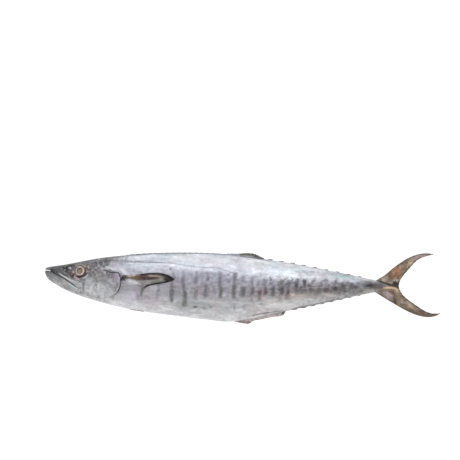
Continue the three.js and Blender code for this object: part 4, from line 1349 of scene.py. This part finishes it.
def make_back_fins():
    """The first fin of the back, folded flat into its groove, and the second one."""
    spines = np.linspace(142, 315, BACK_SPINES)
    tall = 0.2 + 1.4 * np.sin(np.linspace(0.1, math.pi - 0.25, BACK_SPINES)) ** 0.6
    first = edge_fan("first_back_fin", back, 1, spines, tall, 1.2, (2.6, 1.0, 0.2))
    second = edge_fan("second_back_fin", back, 1, *np.array(SECOND_FIN).T, 0.9, (3.2, 1.1, 0.2))
    for blade in (first, second):
        note(blade, "rim", 0.5 * rim_of(blade, 0.12))
        finished_fin(blade, BACK_FIN_STROKES)
    return first, second


def make_anal_fin():
    """The folded fin of the belly's edge."""
    fin = edge_fan("anal_fin", belly, -1, *np.array(ANAL_FIN).T, 0.7, (3.2, 1.0, 0.2))
    note(fin, "rim", 0.35 * rim_of(fin, 0.12))
    return finished_fin(fin, ANAL_FIN_STROKES)


def beside_edge(edge, side, u, size, spot):
    """A point of a finlet that starts at u. The spot is how far along and how far out it is at full size."""
    along, out = spot
    at = u + along * size
    return at, float(edge(at)) + side * out * size


def make_finlets(name, edge, side, stations, length, rise, rim):
    """A row of small flags along the edge of the body, smaller towards the tail."""
    leading = [(0, -FINLET_ROOT), (length * 0.4, rise * 0.7), (length, rise)]
    rays = [
        ((1.6, -FINLET_ROOT), (length * 0.95, rise * 0.5)),
        ((3.4, -FINLET_ROOT), (length * 0.86, -0.2)),
        ((5, -FINLET_ROOT), (length * 0.7, -1.6)),
    ]
    flags = []
    for i, u in enumerate(stations):
        size = 1 - 0.25 * i / (len(stations) - 1)
        first = [beside_edge(edge, side, u, size, spot) for spot in leading]
        later = [[beside_edge(edge, side, u, size, spot) for spot in ray] for ray in rays]
        flags.append(middle_blade("flag", first, later, (2.0, 0.9, 0.1), levels=1, points=6))
    row = joined(name, flags)
    note(row, "rim", rim * rim_of(row, 0.2, 0.6))
    return finished_fin(row)


def make_pelvic_fins():
    """The small fins under the belly, folded against it."""
    pair = []
    for flank in (1, -1):
        first = [(150, 5.4), (164, 5.8), (178, 4.6)]
        rays = [((150, 4.2), (175, 3.4)), ((150, 2.8), (170, 2.2)), ((150, 1.4), (165, 1.2))]
        blade = fan("pelvic", first, rays, 6)
        subdivide(blade, 2, boundary_smooth="PRESERVE_CORNERS")
        # Stand the blade up against the belly: its width becomes height, and the belly's curve its place.
        with editing(blade):
            bpy.ops.transform.rotate(value=-math.pi / 2, orient_axis="X", center_override=place(164, 0, 0))
        u, t, z = measures(blade)
        middle, half, thick = ring(u)
        across = np.abs(z)
        # the roots sink into the skin, and at the first and last ray they sink further along
        beside = np.abs(noted(blade, "ray") / (len(rays) / 2) - 1)
        sunk = 2.4 * (1 - smooth(noted(blade, "reach") - 0.14 * beside**2, 0, 0.22))
        want_t = middle - half * np.sqrt(1 - np.clip(across / thick, 0, 1) ** 2) - 0.5 + sunk
        want_z = middle_height(u) + flank * across
        raise_by(blade, want_t - t, "Y")
        raise_by(blade, want_z - z, "Z")
        thicken(blade, 1.5, 0.8, 0.1)
        pair.append(blade)
    pelvic = joined("pelvic_fins", pair)
    note(pelvic, "rim", rim_of(pelvic, 0.15))
    with editing(pelvic):
        face_outwards()
    return finished_fin(pelvic)


# ---------------------------------------------------------------- eyes

EYE_STROKES = [
    ("line", "bark", [(58.4, 3), (58.8, 6.6), (61.6, 8.4), (65, 8.2)], 1.5, 0.8, (0.2, 0.2)),
    ("dab", "steel", 60.8, 5.2, 2.4, 2.4, 0.6), ("dab", "gold", 65.2, 3.8, 2.2, 3.2, 0.6),
    ("dab", "brown", 62.4, 6.6, 1.8, 1.4, 0.75), ("dab", "beige", 61.6, 1.4, 2, 1.4, 0.5),
    ("dab", "mauve", 57.6, 9, 2.6, 1.6, 0.55, 40), ("dab", "bark", 67, 9, 2.4, 1.4, 0.5, -35),
]


def make_eye(name, flank):
    """An eyeball that looks straight out of its flank."""
    here = on_skin(EYE_U, EYE_T, flank)
    along = on_skin(EYE_U + 1, EYE_T, flank) - here
    up = on_skin(EYE_U, EYE_T + 1, flank) - here
    sight = along.cross(up).normalized() * flank
    centre = here + sight * (EYE_PROUD - EYE_DEPTH) * MM
    deselect()
    bpy.ops.mesh.primitive_uv_sphere_add(segments=48, ring_count=32, radius=MM, location=(0, 0, 0))
    eye = bpy.context.object
    eye.name = name
    with editing(eye):
        bpy.ops.transform.resize(value=(EYE_RADIUS, EYE_RADIUS, EYE_DEPTH))
    x, y, z = coordinates(eye)
    turn = Vector((0, 0, 1)).rotation_difference(sight).to_matrix().to_4x4()
    eye.matrix_world = Matrix.Translation(centre) @ turn
    settle(eye)
    front = z > 0
    from_sight = np.hypot(x, y)
    note(eye, "from_sight", np.where(front, from_sight, EYE_RIM))
    # the pupil lies a little in, with a low ring round it
    pupil = np.exp(-((from_sight / PUPIL_RADIUS) ** 4))
    raise_by(eye, np.where(front, 0.25 * hump(from_sight - PUPIL_RING, 0.8) - 0.15 * pupil, 0))
    smooth_shaded(eye)
    return paint_over(eye, EYE_STROKES, 0.2)


# ---------------------------------------------------------------- stage

FLOOR_GAP = 0.0006  # keeps the floor's surface out of the skin's


def lamp(name, place_at, size, watts):
    """A round soft lamp that shines at the origin."""
    bpy.ops.object.light_add(type="AREA", location=place_at)
    made = bpy.context.object
    made.name = name
    made.data.shape = "DISK"
    made.data.size = size
    made.data.energy = watts
    made.rotation_euler = (-Vector(place_at)).to_track_quat("-Z", "Y").to_euler()


def make_stage():
    """A pale floor, two soft lamps and even light all round."""
    deselect()
    bpy.ops.mesh.primitive_plane_add(size=8, location=(0, 0, -FLOOR_GAP))
    floor = settle(bpy.context.object)
    floor.name = "floor"
    finish = Finish("pale_floor", Roughness=0.7)
    grain = finish.spread(finish.noise(9, 3), 0.3, 0.7, 0.985, 1.0)
    glow = finish.shade((1.0, 1.0, 1.0, 1.0), grain)
    finish.shader.inputs["Emission Strength"].default_value = 0.97
    floor.data.materials.append(finish.done(Base_Color=seen(120, 120, 120) + (1,), Emission_Color=glow))
    lamp("soft_key", (-0.1, 1.0, 1.7), 1.4, 16)
    lamp("soft_fill", (0.3, -1.1, 1.7), 1.8, 8)
    world = bpy.data.worlds.new("studio")
    world.use_nodes = True
    world.node_tree.nodes["Background"].inputs["Color"].default_value = (1, 1, 1, 1)
    world.node_tree.nodes["Background"].inputs["Strength"].default_value = 0.5
    bpy.context.scene.world = world


def make_camera():
    """Straight above the fish, turned so that its length runs a little down to the right."""
    lens, sensor, turn = 250.0, 36.0, 2.56
    level, view_width = 22, 809.6  # the view is this wide at this height above the floor
    above = place(322.9, 87.5, level + view_width * lens / sensor)
    data = bpy.data.cameras.new("camera")
    data.lens, data.sensor_width, data.sensor_fit = lens, sensor, "HORIZONTAL"
    data.clip_end = 20
    camera = bpy.data.objects.new("camera", data)
    bpy.context.scene.collection.objects.link(camera)
    camera.location = above
    camera.rotation_euler = (0, 0, math.radians(turn))
    bpy.context.scene.camera = camera


# ---------------------------------------------------------------- the whole

bpy.context.scene.view_settings.view_transform = "Standard"
bpy.context.scene.view_settings.look = "None"
make_camera()
make_stage()

skin = make_body()
skin_look = skin_finish()
hand_in(skin, skin_look, "skin", "fish")

tail_look = fin_finish("tail_fin_skin", [
    (0.0, (108, 100, 98)), (0.2, (130, 114, 102)), (0.5, (142, 124, 106)), (0.8, (132, 116, 98)),
    (1.0, (94, 82, 70)),
], (62, 52, 44), patches=[((108, 74, 56), 84, 0.7), ((194, 174, 154), 100, 0.65), ((98, 94, 68), 96, 0.65)])
pale_look = fin_finish("pale_fin_skin", [
    (0.0, (202, 200, 202)), (0.5, (206, 198, 198)), (0.8, (196, 184, 184)), (1.0, (168, 152, 152)),
], (104, 92, 92))
silver_look = fin_finish("silver_fin_skin", [
    (0.0, (176, 180, 187)), (0.5, (180, 183, 190)), (0.8, (164, 167, 174)), (1.0, (142, 144, 150)),
], (92, 92, 92))
dark_look = fin_finish("dark_finlet_skin", [
    (0.0, (176, 172, 172)), (0.4, (140, 130, 134)), (0.7, (112, 102, 106)), (1.0, (86, 76, 80)),
], (64, 56, 58))
wing_look = fin_finish("pectoral_fin_skin", [
    (0.0, (150, 147, 152)), (0.5, (158, 155, 160)), (0.88, (146, 144, 146)), (1.0, (100, 96, 94)),
], (48, 34, 36), see_through=0.1, shine=0.6)

hand_in(make_tail(), tail_look, "skin", "fish")
for side, flank in (("left", 1), ("right", -1)):
    hand_in(make_pectoral(f"pectoral_fin_{side}", flank, skin), wing_look, "skin", "fish")
    hand_in(make_eye(f"eyeball_{side}", flank), eye_finish(), "eye", f"eye_{side}")
for fin in make_back_fins():
    hand_in(fin, silver_look, "skin", "fish")
hand_in(make_anal_fin(), pale_look, "skin", "fish")
back_finlets = make_finlets("back_finlets", back, 1, np.linspace(388, 549, 9), 13, 1.5, 0.4)
hand_in(back_finlets, silver_look, "skin", "fish")
belly_finlets = make_finlets("belly_finlets", belly, -1, np.linspace(434, 548, 8), 14, 0.8, 0.8)
hand_in(belly_finlets, dark_look, "skin", "fish")
hand_in(make_pelvic_fins(), pale_look, "skin", "fish")
